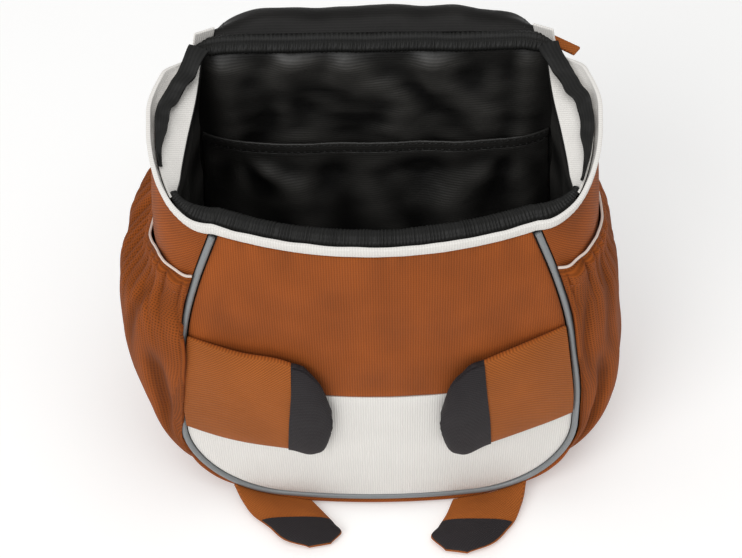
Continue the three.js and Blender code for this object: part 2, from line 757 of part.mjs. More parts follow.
function lidCoverFace(u, v) {
  const out = facing(lidLiningFace, u, v);
  return lidLiningFace(u, v).addScaledVector(out, -LINING - LID_SEAT);
}

piece('lid_lining', wall(lidLiningFace, 6, 14, LINING), LINING_BLACK, 0.5);
piece('lid_cover', wall(lidCoverFace, 6, 14, LID_COVER), BROWN, 0.8);

// White corner pieces between the ends of the rim band and the lid
function cornerFace(side) {
  return (u, v) => {
    const point = vector(CORNER_RIM).lerp(vector(CORNER_LID), u);
    const tall = CORNER_TALL * (1 - CORNER_TAPER * u);
    return mirrored(side, point.add(at(-v * CORNER_LEAN, 0, v * tall)));
  };
}

piece('lid_corner_left', wall(cornerFace(-1), 4, 2, -CORNER_THICK), WHITE, 0.85);
piece('lid_corner_right', wall(cornerFace(1), 4, 2, CORNER_THICK), WHITE, 0.85);

function tabFace(u, v) {
  const middle = vector(TAB_ROOT).addScaledVector(vector(TAB_AHEAD), v * TAB_LONG);
  return middle.addScaledVector(vector(TAB_ASIDE), (2 * u - 1) * TAB_HALF);
}

piece('side_tab', wall(tabFace, 1, 4, TAB_THICK), BROWN, 0.8);

// The shoulder straps on the back, with webbing down to the bottom corners
function strapFace(side) {
  return (u, v) => {
    const across = 2 * u - 1;
    return at(side * (strap.x(v) + across * strap.half(v)), strap.y(v) - across ** 4, strap.z(v));
  };
}

function webFace(side) {
  return (u, v) => {
    const across = 2 * u - 1;
    return at(side * (web.x(v) + across * WEB_HALF), web.y(v), web.z(v) + across * WEB_TILT);
  };
}

// A flat frame with one crossbar
function adjuster(side) {
  const plate = new THREE.Shape();
  const wide = ADJUSTER_WIDE / 2;
  const tall = ADJUSTER_TALL / 2;
  plate.setFromPoints([[-wide, -tall], [wide, -tall], [wide, tall], [-wide, tall]].map(
    ([x, y]) => new THREE.Vector2(x, y)));
  const slotWide = wide - ADJUSTER_RIM;
  const slotTall = tall - ADJUSTER_RIM;
  const bar = ADJUSTER_RIM / 2;
  [-1, 1].forEach((half) => {
    const slot = [[-slotWide, bar], [slotWide, bar], [slotWide, slotTall], [-slotWide, slotTall]];
    plate.holes.push(new THREE.Path(slot.map(([x, y]) => new THREE.Vector2(x, y * half))));
  });
  const geometry = new THREE.ExtrudeGeometry(plate, { depth: ADJUSTER_THICK, bevelEnabled: false });
  geometry.rotateX(Math.PI / 2);
  geometry.rotateY(side * ADJUSTER_TURN);
  const proud = web.y(ADJUSTER_TOP_RUN) + SEAT + ADJUSTER_THICK;
  geometry.translate(side * web.x(ADJUSTER_RUN), proud, web.z(ADJUSTER_RUN));
  return closedBody([geometry]);
}

[[-1, 'left'], [1, 'right']].forEach(([side, key]) => {
  piece(`strap_${key}`, wall(strapFace(side), 4, 8, side * STRAP_THICK), BROWN, 0.85);
  piece(`webbing_${key}`, wall(webFace(side), 2, 8, side * WEB_THICK), BLACK, 0.7);
  piece(`adjuster_${key}`, adjuster(side), BLACK, 0.4);
});

// The grab loop at the top of the back
function loopFace(u, v) {
  const angle = lerp(-Math.PI / 2, Math.PI / 2, v);
  const reach = LOOP_REACH * Math.max(Math.cos(angle), 0) ** LOOP_FULLNESS;
  return at(LOOP_SPAN * Math.sin(angle), LOOP_FOOT_Y + reach, LOOP_Z + (u - 1) * 2 * LOOP_HALF);
}

piece('grab_loop', wall(loopFace, 1, 14, LOOP_THICK), BROWN, 0.8);

// The origin is in the middle of the footprint, on the floor
const extent = new THREE.Box3().setFromObject(bag);
bag.position.set(-(extent.min.x + extent.max.x) / 2, -(extent.min.y + extent.max.y) / 2, -extent.min.z);

export default bag;
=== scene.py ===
"""Looks of a small child's backpack that stands open, with its lid thrown back.

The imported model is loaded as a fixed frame, and each cloth piece is made over its solid.
Shapes are worked out in millimetres from the middle of the bag.
X is to the viewer's right, the front faces -Y and Z is up.
Left and right are the viewer's, looking at the front.
"""

import math

import bmesh
import bpy
import numpy as np
from bpy.props import FloatProperty, FloatVectorProperty, PointerProperty
from mathutils import Matrix, Vector, noise


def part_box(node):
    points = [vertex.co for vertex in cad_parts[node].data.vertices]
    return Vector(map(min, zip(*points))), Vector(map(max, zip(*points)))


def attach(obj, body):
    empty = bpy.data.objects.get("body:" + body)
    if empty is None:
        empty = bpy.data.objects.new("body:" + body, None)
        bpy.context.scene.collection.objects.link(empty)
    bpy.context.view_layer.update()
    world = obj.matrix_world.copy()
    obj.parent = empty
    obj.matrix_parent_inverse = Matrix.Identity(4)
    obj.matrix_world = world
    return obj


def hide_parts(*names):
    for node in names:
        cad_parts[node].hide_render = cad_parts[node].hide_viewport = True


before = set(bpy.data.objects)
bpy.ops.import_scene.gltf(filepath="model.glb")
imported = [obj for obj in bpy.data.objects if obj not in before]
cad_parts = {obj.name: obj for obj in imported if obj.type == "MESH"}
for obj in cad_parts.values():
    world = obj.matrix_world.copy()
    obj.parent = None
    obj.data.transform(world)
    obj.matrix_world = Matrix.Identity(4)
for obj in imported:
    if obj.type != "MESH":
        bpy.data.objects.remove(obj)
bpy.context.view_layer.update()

bl_info = {
    "name": "Open Child's Backpack",
    "version": (1, 0, 0),
    "blender": (4, 5, 0),
    "location": "3D View > Sidebar > Backpack",
    "description": "Makes the cloth, seams and fittings of a small open backpack, and a plain studio",
    "category": "Object",
}

# Sizes of the body, in millimetres
RIM_Z = 240
BACK_RIM_Z = 247
BACK_Y = 70
BELLY_SEAM_Z = 121
INNER_LOW_Z = 22
INNER_TOP_Z = 177
PIPING_RADIUS = 1.85
TRIM_RADIUS = 0.75
BAND_TALL = 7.8
BAND_THICK = 2.4
LINING_THICK = 1.2
POCKET_THICK = 1.1
CORNER_THICK = 1.6
PATCH_THICK = 0.8
STRAP_THICK = 6.0
WEB_THICK = 1.6
LOOP_THICK = 2.2
TAB_THICK = 2.0
# Room that a panel leaves at the piping, at a side seam and round other pieces, in millimetres
EDGE = 2.15
SIDE_EDGE = 2.5
GAP = 0.35
# How far the lining's inner face lies behind the front: outer cloth, some room, and the lining itself
LINING_BEHIND = 2 + 0.9 + LINING_THICK
# How far stitches lie above the cloth, and the most that arms and feet swell, in millimetres
THREAD_LIFT = 0.1
ARM_SWELL = 1.6
FOOT_SWELL = 0.8
# Share of an outline that runs straight down, and share of a panel's rows that lie in its rounded corners
STRAIGHT = 0.72
ROUNDED_SHARE = 0.55
# Sides: share across in which the base comes down behind the front, and how far forward and how full they are
BASE_RISE = 0.15
SIDE_SKEW = 0.87
SIDE_FULLNESS = 0.55
# Sides towards the back: share by which they are drawn in at the rim, and by which they sink in below it
REAR_DRAW = 0.38
REAR_HOLLOW = 0.27
# Share of a cloth over which a fold is told from the cloth round it
FOLD_REACH = 0.06
# Share of its thickness by which a stuffed flap's edges round out, and by which any wall's are softened
EDGE_ROUNDING = 0.28
EDGE_SOFTENING = 0.4
# Frames that the cloth of a stuffed flap swells for
SWELL_FRAMES = 20
# Neighbours on either side that the rim's direction is averaged over
RIM_REACH = 7


class Table:
    """Rows with named columns; each column after the first is a smooth curve along the first."""

    def __init__(self, names, *rows):
        values = np.array(rows, float).T
        self.keys = values[0]
        self.columns = dict(zip(names.split()[1:], values[1:]))

    def __call__(self, name, place):
        keys, values = self.keys, self.columns[name]
        slopes = np.gradient(values, keys)
        place = np.clip(place, keys[0], keys[-1])
        k = np.clip(np.searchsorted(keys, place) - 1, 0, len(keys) - 2)
        span = keys[k + 1] - keys[k]
        t = (place - keys[k]) / span
        start = values[k] * (1 + 2 * t) * (1 - t) ** 2 + slopes[k] * span * t * (1 - t) ** 2
        return start + values[k + 1] * t**2 * (3 - 2 * t) + slopes[k + 1] * span * t**2 * (t - 1)


# Front panel by height: half width, place of its middle in depth, how far the piping lies behind that
FRONT = Table(
    "z half centre sag",
    (7, 115.5, -72, 13),
    (65, 115.5, -77, 19),
    (100, 114, -77.5, 19),
    (135, 109.5, -77.5, 18.5),
    (170, 104, -76.5, 18),
    (205, 95, -75.5, 17),
    (240, 83, -73, 16.5),
)
# Back panel by height
BACK = Table("z half", (0, 112), (46, 112), (100, 111), (150, 108), (200, 104), (247, 99))
# Side by its run from the rim to the base: how far it swells out
SIDE = Table(
    "run swell",
    (0, 28),
    (0.07, 27),
    (0.14, 24),
    (0.28, 16.5),
    (0.43, 11),
    (0.57, 7.5),
    (0.72, 6),
    (0.86, 3.5),
    (1, 0),
)
# Lining side at the mouth by its run from front to back: how far it stands out
LINING_MOUTH = Table("run out", (0, 0), (0.05, 12.5), (0.15, 22), (0.3, 19.5), (0.5, 14), (0.75, 6), (1, 0))
# Inner pocket by height: how far it stands off the back lining, and its half width
INNER = Table("z off half", (22, 2, 84), (45, 9, 96), (90, 14, 99), (140, 13, 96), (177, 10, 92))
# Side pockets by height: how far each stands off the side
POCKET = Table(
    "z left right",
    (14, 6, 6),
    (35, 15, 16),
    (65, 20.5, 22),
    (100, 25.5, 22.5),
    (135, 26, 18.5),
    (170, 20.5, 13),
    (190, 11, 8),
    (205, 3, 4),
)
# Arms by their run from the piping to the tip: height of the middle and half width
ARMS = {
    "left": Table(
        "run middle half", (0, 114, 44), (0.35, 114, 42.5), (0.72, 113.5, 41.5), (0.87, 109.5, 39),
        (0.95, 106, 28.5), (1, 104, 9),
    ),
    "right": Table(
        "run middle half", (0, 122, 42), (0.35, 119, 40.5), (0.64, 113, 40.5), (0.845, 106, 39.5),
        (0.955, 103, 26), (1, 100, 8),
    ),
}
ARM_TIP_X = {"left": 26, "right": 35}
PAW_START = {"left": 0.72, "right": 0.64}
# Arms by the same run: how far their top and their underside stand off the front
ARM_LIFT = Table(
    "run lift under", (0, 3.6, 0.4), (0.25, 8, 1), (0.7, 9.5, 2), (0.92, 8.6, 2.3), (1, 5.5, 2.5)
)
TOE_START = 0.48
# Feet by their run from the seam to the tip: places of the outer and inner edge on the floor
FEET = {
    "left": Table(
        "run outer_x outer_y inner_x inner_y", (0, 88, -65.5, 42, -73.5), (0.3, 80, -81, 34, -82.5),
        (0.6, 67.5, -92, 27.5, -90.5), (0.85, 55.5, -102, 24, -97), (1, 43, -105, 30, -102.5),
    ),
    "right": Table(
        "run outer_x outer_y inner_x inner_y", (0, 88, -65.5, 45, -73.5), (0.3, 84, -83.5, 40, -84.5),
        (0.6, 77, -95, 35, -93), (0.85, 65, -106, 31, -101), (1, 52, -110, 39, -108),
    ),
}
# Side strips of the channel by their run from the back channel to the front: width, and how far they bow in
STRIP = Table(
    "run wide bow",
    (0, 12, 0),
    (0.15, 10, 0.6),
    (0.3, 9, 0.8),
    (0.5, 8, 0),
    (0.7, 6, 0),
    (0.85, 3.2, 0),
    (1, 1, 0),
)
# Where along the rim each strip ends
STRIP_END = {"left": 0.19, "right": 0.222}
# Lid by its run from the hinge over the back and down
LID = Table(
    "run y z half droop",
    (0, 78.6, 251, 91, 1),
    (0.05, 87.5, 255.5, 92, 3),
    (0.1, 96, 254, 92.5, 6),
    (0.17, 104.5, 244, 93, 8),
    (0.3, 110, 215, 95, 7),
    (0.5, 112, 172, 99, 6),
    (0.7, 112.5, 130, 98, 6),
    (0.85, 112, 98, 88, 5),
    (0.95, 111, 76, 66, 4),
    (1, 110, 65, 38, 2),
)
# Shoulder strap and its webbing by their run from the top
STRAP = Table(
    "run x y z half",
    (0, 34, 84.2, 226, 19),
    (0.2, 36, 96, 204, 22),
    (0.5, 41, 101, 166, 22),
    (0.8, 49, 100, 128, 20),
    (1, 54, 97, 104, 15),
)
WEB = Table(
    "run x y z", (0, 53, 90.7, 112), (0.12, 55, 89.4, 103), (0.35, 61, 88.5, 84),
    (0.7, 74, 84.5, 56), (1, 85, 79.6, 34),
)
SIDES = {"left": -1, "right": 1}

# The bag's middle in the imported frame
_front_low, _front_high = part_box("front_upper")
_back_low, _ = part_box("back_panel")
MIDDLE = np.array(((_front_low.x + _front_high.x) / 2, _back_low.y - BACK_Y / 1000, 0.0))


def linear(code):
    """A colour's linear red, green and blue from its sRGB hex code."""
    parts = [int(code[k : k + 2], 16) / 255 for k in (0, 2, 4)]
    return tuple(p / 12.92 if p <= 0.04045 else ((p + 0.055) / 1.055) ** 2.4 for p in parts)


def length_prop(name, description, default):
    return FloatProperty(name=name, description=description, default=default, min=0.0, unit="LENGTH")


def colour_prop(name, description, code):
    return FloatVectorProperty(
        name=name, description=description, default=linear(code), size=3, min=0.0, max=1.0, subtype="COLOR"
    )


class BackpackSizes(bpy.types.PropertyGroup):
    """Sizes of the cloth and its sewing."""

    shell: length_prop("Outer cloth", "Thickness of the outer cloth", 0.002)
    lining: length_prop("Lining cloth", "Thickness of the lining", 0.0012)
    thread: length_prop("Thread spacing", "Spacing of the woven threads, coarse enough to show", 0.0014)
    nylon_rib: length_prop("Nylon rib", "Spacing of the lining's fine ribs, coarse enough to show", 0.0016)
    front_wrinkle: length_prop("Front wrinkles", "Height of the soft wrinkles of the outer cloth", 0.0009)
    lining_wrinkle: length_prop("Lining wrinkles", "Height of the soft wrinkles of the lining", 0.0034)
    pocket_gather: length_prop("Pocket gathers", "Depth of the gathers under the pocket's elastic", 0.0017)
    pocket_fold: length_prop("Pocket folds", "Depth of the long folds down the pocket", 0.0028)
    channel_gather: length_prop("Channel gathers", "Depth of the gathers of the drawcord channels", 0.0008)
    stitch: length_prop("Stitch", "Length of one stitch", 0.0026)
    stitch_gap: length_prop("Stitch gap", "Gap between two stitches", 0.0012)
    stitch_radius: length_prop("Sewing thread", "Radius of the sewing thread", 0.0003)


class BackpackColours(bpy.types.PropertyGroup):
    """Colours of the cloths and fittings."""

    brown: colour_prop("Brown cloth", "Outer cloth", "964c19")
    # The same brown cloth, painted lighter as painted light on the pieces cut on the slant
    light_brown: colour_prop("Light brown cloth", "Arms, feet and back, cut on the slant", "9f5721")
    white: colour_prop("White cloth", "Belly, rim band and collars", "ebe8e3")
    dark: colour_prop("Dark cloth", "Ends of the arms and feet", "292527")
    mesh_brown: colour_prop("Open brown cloth", "Side pockets", "7f4015")
    lining: colour_prop("Lining", "Lining nylon", "2b2a28")
    # The lining's black cloth again, painted darker on the lid as painted shade
    lid: colour_prop("Lid lining", "Underside of the lid", "191817")
    channel: colour_prop("Channels", "Gathered drawcord channels", "1a1a19")
    piping: colour_prop("Piping", "Reflective piping", "85898b")
    trim: colour_prop("Pocket trim", "Elastic trim of the side pockets", "e2d3c8")
    webbing: colour_prop("Webbing", "Strap webbing", "232221")
    plastic: colour_prop("Plastic", "Moulded adjusters", "1d1d1d")
    floor: colour_prop("Floor", "Studio floor", "f4f4f3")


def mix(a, b, t):
    return a + (b - a) * t


def step(x, low, high):
    """A soft step from 0 at one value to 1 at another."""
    t = np.clip((x - low) / (high - low), 0, 1)
    return t * t * (3 - 2 * t)


def ease(u):
    """Closer spacing at both ends of a run."""
    return (1 - np.cos(np.pi * u)) / 2


def stack(x, y, z):
    return np.stack(np.broadcast_arrays(np.asarray(x, float), y, z), axis=-1)


def hills(x, y, size, seed):
    """Smooth uneven hills from -1 to 1, about `size` across."""
    x, y = np.broadcast_arrays(x, y)
    values = [noise.noise((a, b, seed * 7.3)) for a, b in zip((x / size).ravel(), (y / size).ravel())]
    return np.array(values).reshape(x.shape)


def waves(place, seed):
    """Smooth uneven waves from -1 to 1 along a line, each about 1 long."""
    return hills(place, np.zeros_like(place), 1.0, seed)


def gathers(place, count, seed):
    """Uneven small folds, from 0 in a crease to 1 on a ridge, `count` of them over a run of 1."""
    drift = waves(place * count / 3, seed)
    high = 0.7 + 0.5 * waves(place * count / 2, seed + 1)
    return high * np.abs(np.cos(np.pi * (place * count + 0.6 * drift)))


def between_seams(u, power):
    """1 in the middle of a cloth and 0 at its two edges; a higher power falls closer to them."""
    return 1 - np.abs(2 * u - 1) ** power


def dent(distance, wide):
    """1 at a place and 0 away from it, over a width."""
    return np.exp(-((distance / wide) ** 2))


def front_y(x, z):
    return FRONT("centre", z) + FRONT("sag", z) * (x / FRONT("half", z)) ** 2


class Outline:
    """The U-shaped edge of the front or back: down from the rim, then round the bottom corner."""

    def __init__(self, half, top, bottom, corner):
        self.half, self.top, self.bottom, self.corner = half, top, bottom, corner
        self.bend = bottom + corner

    def at(self, run, inset=0.0):
        level = mix(self.top, self.bend, np.minimum(run / STRAIGHT, 1))
        turn = np.clip((run - STRAIGHT) / (1 - STRAIGHT), 0, 1) * np.pi / 2
        reach = self.corner - inset
        low_x = self.half(self.bend) - self.corner + reach * np.cos(turn)
        x = np.where(run < STRAIGHT, self.half(level) - inset, low_x)
        z = np.where(run < STRAIGHT, level, self.bend - reach * np.sin(turn))
        return x, z, turn

    def row(self, v, inset, top):
        """Height and half width of the rows of a panel with rounded bottom corners."""
        x, z, _ = self.at(1 - np.minimum(v / ROUNDED_SHARE, 1) * (1 - STRAIGHT), inset)
        level = mix(self.bend, top, (v - ROUNDED_SHARE) / (1 - ROUNDED_SHARE))
        low = v < ROUNDED_SHARE
        return np.where(low, z, level), np.where(low, x, self.half(level) - inset)


FRONT_LINE = Outline(lambda z: FRONT("half", z), RIM_Z, 7, 56)
BACK_LINE = Outline(lambda z: BACK("half", z), BACK_RIM_Z, 0, 46)
PANEL_LINE = Outline(lambda z: BACK("half", z) + 1.5, BACK_RIM_Z, GAP, 46)
# Height of the side that goes with a run of 1
SIDE_TALL = (RIM_Z - FRONT_LINE.bend) / STRAIGHT
# Side pockets: how far the hem drops at the front and at the back, how far the pocket leans over the piping,
# and the height of the hem
HEM_DIP = {"left": 2, "right": 1}
REAR_DIP = {"left": 13, "right": 8}
PIPING_COVER = {"left": 9.2, "right": 3}
POCKET_TOP = {"left": 209.5, "right": 213}
# Creases down the side pockets: place across, width, share of the full depth, and where each starts and fades
POCKET_CREASES = {
    "left": ((0.155, 0.025, 2.0, 0.32, 0.68), (0.24, 0.02, 0.9, 0.0, 0.3), (0.1, 0.015, 0.6, 0.6, 0.7)),
    "right": ((0.12, 0.02, 0.7, 0.05, 0.5), (0.17, 0.03, 2.0, 0.4, 0.75), (0.24, 0.025, 0.7, 0.0, 0.4)),
}


def strung(run, across, front_inset, behind, back_inset, rear, swell):
    """A surface strung between the front and back outlines, on the right-hand side."""
    ax, az, turn = FRONT_LINE.at(run, front_inset)
    bx, bz, _ = BACK_LINE.at(run, back_inset)
    down = mix(across, step(across, 0, BASE_RISE), turn / (np.pi / 2))
    x = mix(ax, bx, across) + swell * np.cos(turn)
    y = mix(front_y(ax, az) + behind, rear, across)
    return stack(x, y, mix(az, bz, down) - swell * np.sin(turn))


def arch(across):
    skewed = across**SIDE_SKEW
    return np.maximum(4 * skewed * (1 - skewed), 0) ** SIDE_FULLNESS


def fullness(run, across):
    """How full the side is: it sinks in below the rim, behind its middle."""
    hollow = REAR_HOLLOW * step(across, 0.3, 0.6) * step(run, 0, 0.12) * (1 - step(run, 0.2, 0.5))
    return arch(across) * (1 - hollow)


def side_point(run, across):
    """A place on the side, which is drawn in towards the back at the rim."""
    drawn_in = REAR_DRAW * step(across, 0.6, 0.95) * (1 - step(run, 0, 0.35))
    swell = SIDE("swell", run) * fullness(run, across) * (1 - drawn_in)
    return strung(run, across, front_inset=0, behind=0, back_inset=0, rear=BACK_Y - GAP, swell=swell)


def clear_of(run, seam, distance):
    """Places across the side that lie a distance from its front seam, at 0, or its back seam, at 1."""
    runs = np.linspace(0, 1, 80)
    across = np.linspace(seam, mix(seam, 1 - seam, 0.4), 240)
    grid = side_point(runs[:, None], across[None, :])
    gaps = np.linalg.norm(grid - grid[:, :1], axis=2)
    places = [np.interp(distance, row, across) for row in gaps]
    return np.interp(run, runs, places)


def lining_point(run, across):
    """Inner face of the lining's side."""
    low = np.maximum(SIDE("swell", run) - 5, 0) * fullness(run, across)
    swell = mix(LINING_MOUTH("out", across), low, step(run, 0, 0.2))
    rear = BACK_Y - LINING_THICK - 3 * GAP
    point = strung(run, across, front_inset=6, behind=LINING_BEHIND, back_inset=3.6, rear=rear, swell=swell)
    point[..., 2] -= 2.6 * (1 - step(run, 0, STRAIGHT))
    return point


def mirrored(side, points):
    return points * np.array((side, 1, 1))


def along(line):
    """Distance along a row of points."""
    steps = np.linalg.norm(np.diff(line, axis=0), axis=1)
    return np.concatenate([[0], np.cumsum(steps)])


def resample(line, count):
    """The same line through evenly spaced points."""
    place = along(line)
    even = np.linspace(0, place[-1], count)
    return np.stack([np.interp(even, place, line[:, k]) for k in range(3)], axis=1)


def rim_line():
    """The top edge of the bag, from its left end round the front to its right end."""
    across = ease(np.linspace(0, 1, 90)) * 0.955
    right = side_point(np.zeros_like(across), across)
    x = np.linspace(-0.97, 0.97, 90) * FRONT("half", RIM_Z)
    front = stack(x, front_y(x, RIM_Z), RIM_Z)
    return resample(np.concatenate([mirrored(-1, right[::-1]), front, right]), 500)


def averaged(row, reach):
    """A row of values, each averaged with its neighbours up to `reach` away."""
    even = np.ones(2 * reach + 1) / (2 * reach + 1)
    return np.convolve(np.pad(row, reach, "edge"), even, "valid")


RIM = rim_line()
# The way that the rim runs, in X and in Y
RIM_AHEAD = [averaged(part, RIM_REACH) for part in np.gradient(RIM, axis=0).T[:2]]


def rim_point(run, inward, rise):
    """A place along the rim, moved in towards the middle of the mouth and up."""
    spots = np.linspace(0, 1, len(RIM))
    x, y, z = (np.interp(run, spots, RIM[:, k]) for k in range(3))
    ahead = [np.interp(run, spots, part) for part in RIM_AHEAD]
    length = np.hypot(*ahead)
    return stack(x - ahead[1] / length * inward, y + ahead[0] / length * inward, z + rise)


def to_frame(points):
    """Millimetres from the bag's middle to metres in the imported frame."""
    return points / 1000 + MIDDLE


def facing(surface, out):
    """Unit directions that a grid of points faces, on the side that `out` points to."""
    normal = np.cross(np.gradient(surface, axis=1), np.gradient(surface, axis=0))
    normal /= np.maximum(np.linalg.norm(normal, axis=2, keepdims=True), 1e-9)
    return normal if (normal * out).sum() >= 0 else -normal


def spread(values, share):
    """A grid of values, each averaged with its neighbours over a share of the grid."""
    for axis in (0, 1):
        reach = max(int(values.shape[axis] * share), 1)
        values = np.apply_along_axis(averaged, axis, values, reach)
    return values


class Cloth:
    """A wall of cloth worked out on a grid: its outer side, its place in the cut cloth, and its folds."""

    def __init__(self, face, columns, rows, out, relief=None):
        self.u, self.v = np.meshgrid(np.linspace(0, 1, columns + 1), np.linspace(0, 1, rows + 1))
        self.outer = face(self.u, self.v)
        self.fold = np.zeros_like(self.u)
        if relief is not None:
            lift = relief(self.u, self.v, self.outer)
            # The fold height, from -1 in a crease to 1 on a ridge, from which the materials paint shade into
            # creases and light onto ridges
            proud = lift - spread(lift, FOLD_REACH)
            self.fold = np.clip(proud / (2 * proud.std() + 1e-9), -1, 1)
            self.outer = self.outer + facing(self.outer, out) * lift[..., None]
        self.normal = facing(self.outer, out)
        wide = np.linalg.norm(np.diff(self.outer, axis=1), axis=2)
        tall = np.linalg.norm(np.diff(self.outer, axis=0), axis=2)
        across = np.pad(np.cumsum(wide, axis=1), ((0, 0), (1, 0)))
        down = np.pad(np.cumsum(tall, axis=0), ((1, 0), (0, 0)))
        middle = [columns // 2]
        lengthwise = np.broadcast_to(down[:, middle], across.shape)
        self.place = np.stack([across - across[:, middle], lengthwise], axis=2)
        self.width, self.length = across[:, -1].max() / 1000, down[-1].max() / 1000
        corners = np.cross(np.diff(self.outer, axis=1)[:-1], np.diff(self.outer, axis=0)[:, :-1])
        self.area = np.linalg.norm(corners, axis=2).sum() / 1e6

    def line(self, row=None, column=None, lift=0.0):
        """A row or column of the outer side, raised from it."""
        pick = (row, slice(None)) if column is None else (slice(None), column)
        return self.outer[pick] + self.normal[pick] * lift


def finish_mesh(name, bm):
    """An object from a bmesh, with smooth faces that point outwards."""
    if bm.calc_volume(signed=True) < 0:
        bmesh.ops.reverse_faces(bm, faces=bm.faces[:])
    for face in bm.faces:
        face.smooth = True
    mesh = bpy.data.meshes.new(name)
    bm.to_mesh(mesh)
    bm.free()
    made = bpy.data.objects.new(name, mesh)
    bpy.context.scene.collection.objects.link(made)
    return made


def soften(made, width):
    """Rounds the cut edges of a wall."""
    edge = made.modifiers.new("Rounded edge", "BEVEL")
    edge.width = width / 1000
    edge.segments = 2
    edge.limit_method = "ANGLE"
    edge.angle_limit = math.radians(50)
    edge.use_clamp_overlap = True
    return made


def edge_bulge(points, thick):
    """How far the stuffed edges of a flap round out, in millimetres; its sewn root stays as it is."""
    away = np.zeros_like(points)
    away[:, 0] += points[:, 0] - points[:, 1]
    away[:, -1] += points[:, -1] - points[:, -2]
    away[-1] += points[-1] - points[-2]
    away /= np.maximum(np.linalg.norm(away, axis=2, keepdims=True), 1e-9)
    return away * thick[..., None] * EDGE_ROUNDING


def sew(name, cloth, thick, cuts=0, dark_from=2.0):
    """A closed wall of cloth with its cloth map, from its worked-out grid and its thickness in millimetres.

    A stuffed flap has its edges cut and rounded. Faces past `dark_from` of its run take its second material.
    """
    rows, columns = cloth.u.shape[0] - 1, cloth.u.shape[1] - 1
    thick = np.broadcast_to(thick, cloth.u.shape)
    outer, inner = to_frame(cloth.outer), to_frame(cloth.outer - cloth.normal * thick[..., None])
    bulge = edge_bulge(cloth.outer, thick) / 1000
    bm = bmesh.new()
    bmesh.ops.create_grid(bm, x_segments=columns, y_segments=rows, size=0.5)
    bmesh.ops.solidify(bm, geom=bm.faces[:], thickness=1.0)
    if cuts:
        walls = [edge for edge in bm.edges if abs(edge.verts[0].co.z - edge.verts[1].co.z) > 0.5]
        bmesh.ops.subdivide_edges(bm, edges=walls, cuts=cuts, use_grid_fill=True)
    bm.verts.index_update()
    cloth_map = bm.loops.layers.uv.new("cloth")
    # Fold height, which the materials turn into painted shade in creases and painted light on ridges
    fold = bm.verts.layers.float.new("fold")
    cloth.index = np.zeros(cloth.u.shape, int)
    cloth.seam = []
    spots = {}
    for face in bm.faces:
        face.material_index = int(face.calc_center_median().y + 0.5 > dark_from)
    for vert in bm.verts:
        i = round((vert.co.x + 0.5) * columns)
        j = round((vert.co.y + 0.5) * rows)
        depth = min(abs(vert.co.z), 1.0)
        if depth < 1e-4:
            cloth.index[j, i] = vert.index
        if i in (0, columns) or j in (0, rows):
            cloth.seam.append(vert.index)
        spots[vert] = cloth.place[j, i] / 1000
        vert[fold] = cloth.fold[j, i]
        vert.co = mix(outer[j, i], inner[j, i], depth) + bulge[j, i] * math.sin(math.pi * depth)
    for face in bm.faces:
        for loop in face.loops:
            loop[cloth_map].uv = spots[loop.vert]
    return soften(finish_mesh(name, bm), float(np.abs(thick).min()) * EDGE_SOFTENING)


def places(mesh):
    """The places of a mesh's vertices, in metres."""
    found = np.empty(len(mesh.vertices) * 3)
    mesh.vertices.foreach_get("co", found)
    return found.reshape(-1, 3)


def plump(made, cloth, cap):
    """Swells a stuffed piece as air-filled cloth held along its seam, no further than `cap` millimetres."""
    scene = bpy.context.scene
    rest = places(made.data)
    seam = made.vertex_groups.new(name="seam")
    seam.add(cloth.seam, 1.0, "REPLACE")
    rounding = made.modifiers["Rounded edge"]
    rounding.show_viewport = False
    swelling = made.modifiers.new("Swelling", "CLOTH")
    settings = swelling.settings
    settings.quality = 6
    settings.mass = 0.02
    settings.tension_stiffness = settings.compression_stiffness = 12
    settings.bending_stiffness = 0.4
    settings.use_pressure = True
    settings.uniform_pressure_force = 4
    settings.vertex_group_mass = seam.name
    settings.effector_weights.gravity = 0
    for number in range(1, SWELL_FRAMES + 1):
        scene.frame_set(number)
    moved = places(made.evaluated_get(bpy.context.evaluated_depsgraph_get()).data) - rest
    scene.frame_set(1)
    made.modifiers.remove(swelling)
    made.vertex_groups.remove(seam)
    rounding.show_viewport = True
    far = np.linalg.norm(moved, axis=1, keepdims=True)
    swollen = rest + moved * np.minimum(1, cap / 1000 / np.maximum(far, 1e-9))
    swollen[:, 1] = np.minimum(swollen[:, 1], rest[:, 1])
    swollen[:, 2] = np.maximum(swollen[:, 2], np.minimum(rest[:, 2], 0.0004))
    made.data.vertices.foreach_set("co", swollen.ravel())
    made.data.update()


def surface_of(made, cloth):
    """The outer side of a finished piece as a face that can be asked for any place on it, in millimetres."""
    grid = (places(made.data)[cloth.index] - MIDDLE) * 1000
    rows, columns = grid.shape[0] - 1, grid.shape[1] - 1

    def face(u, v):
        i = np.clip((u * columns).astype(int), 0, columns - 1)
        j = np.clip((v * rows).astype(int), 0, rows - 1)
        s, t = (u * columns - i)[..., None], (v * rows - j)[..., None]
        return mix(mix(grid[j, i], grid[j, i + 1], s), mix(grid[j + 1, i], grid[j + 1, i + 1], s), t)

    return face


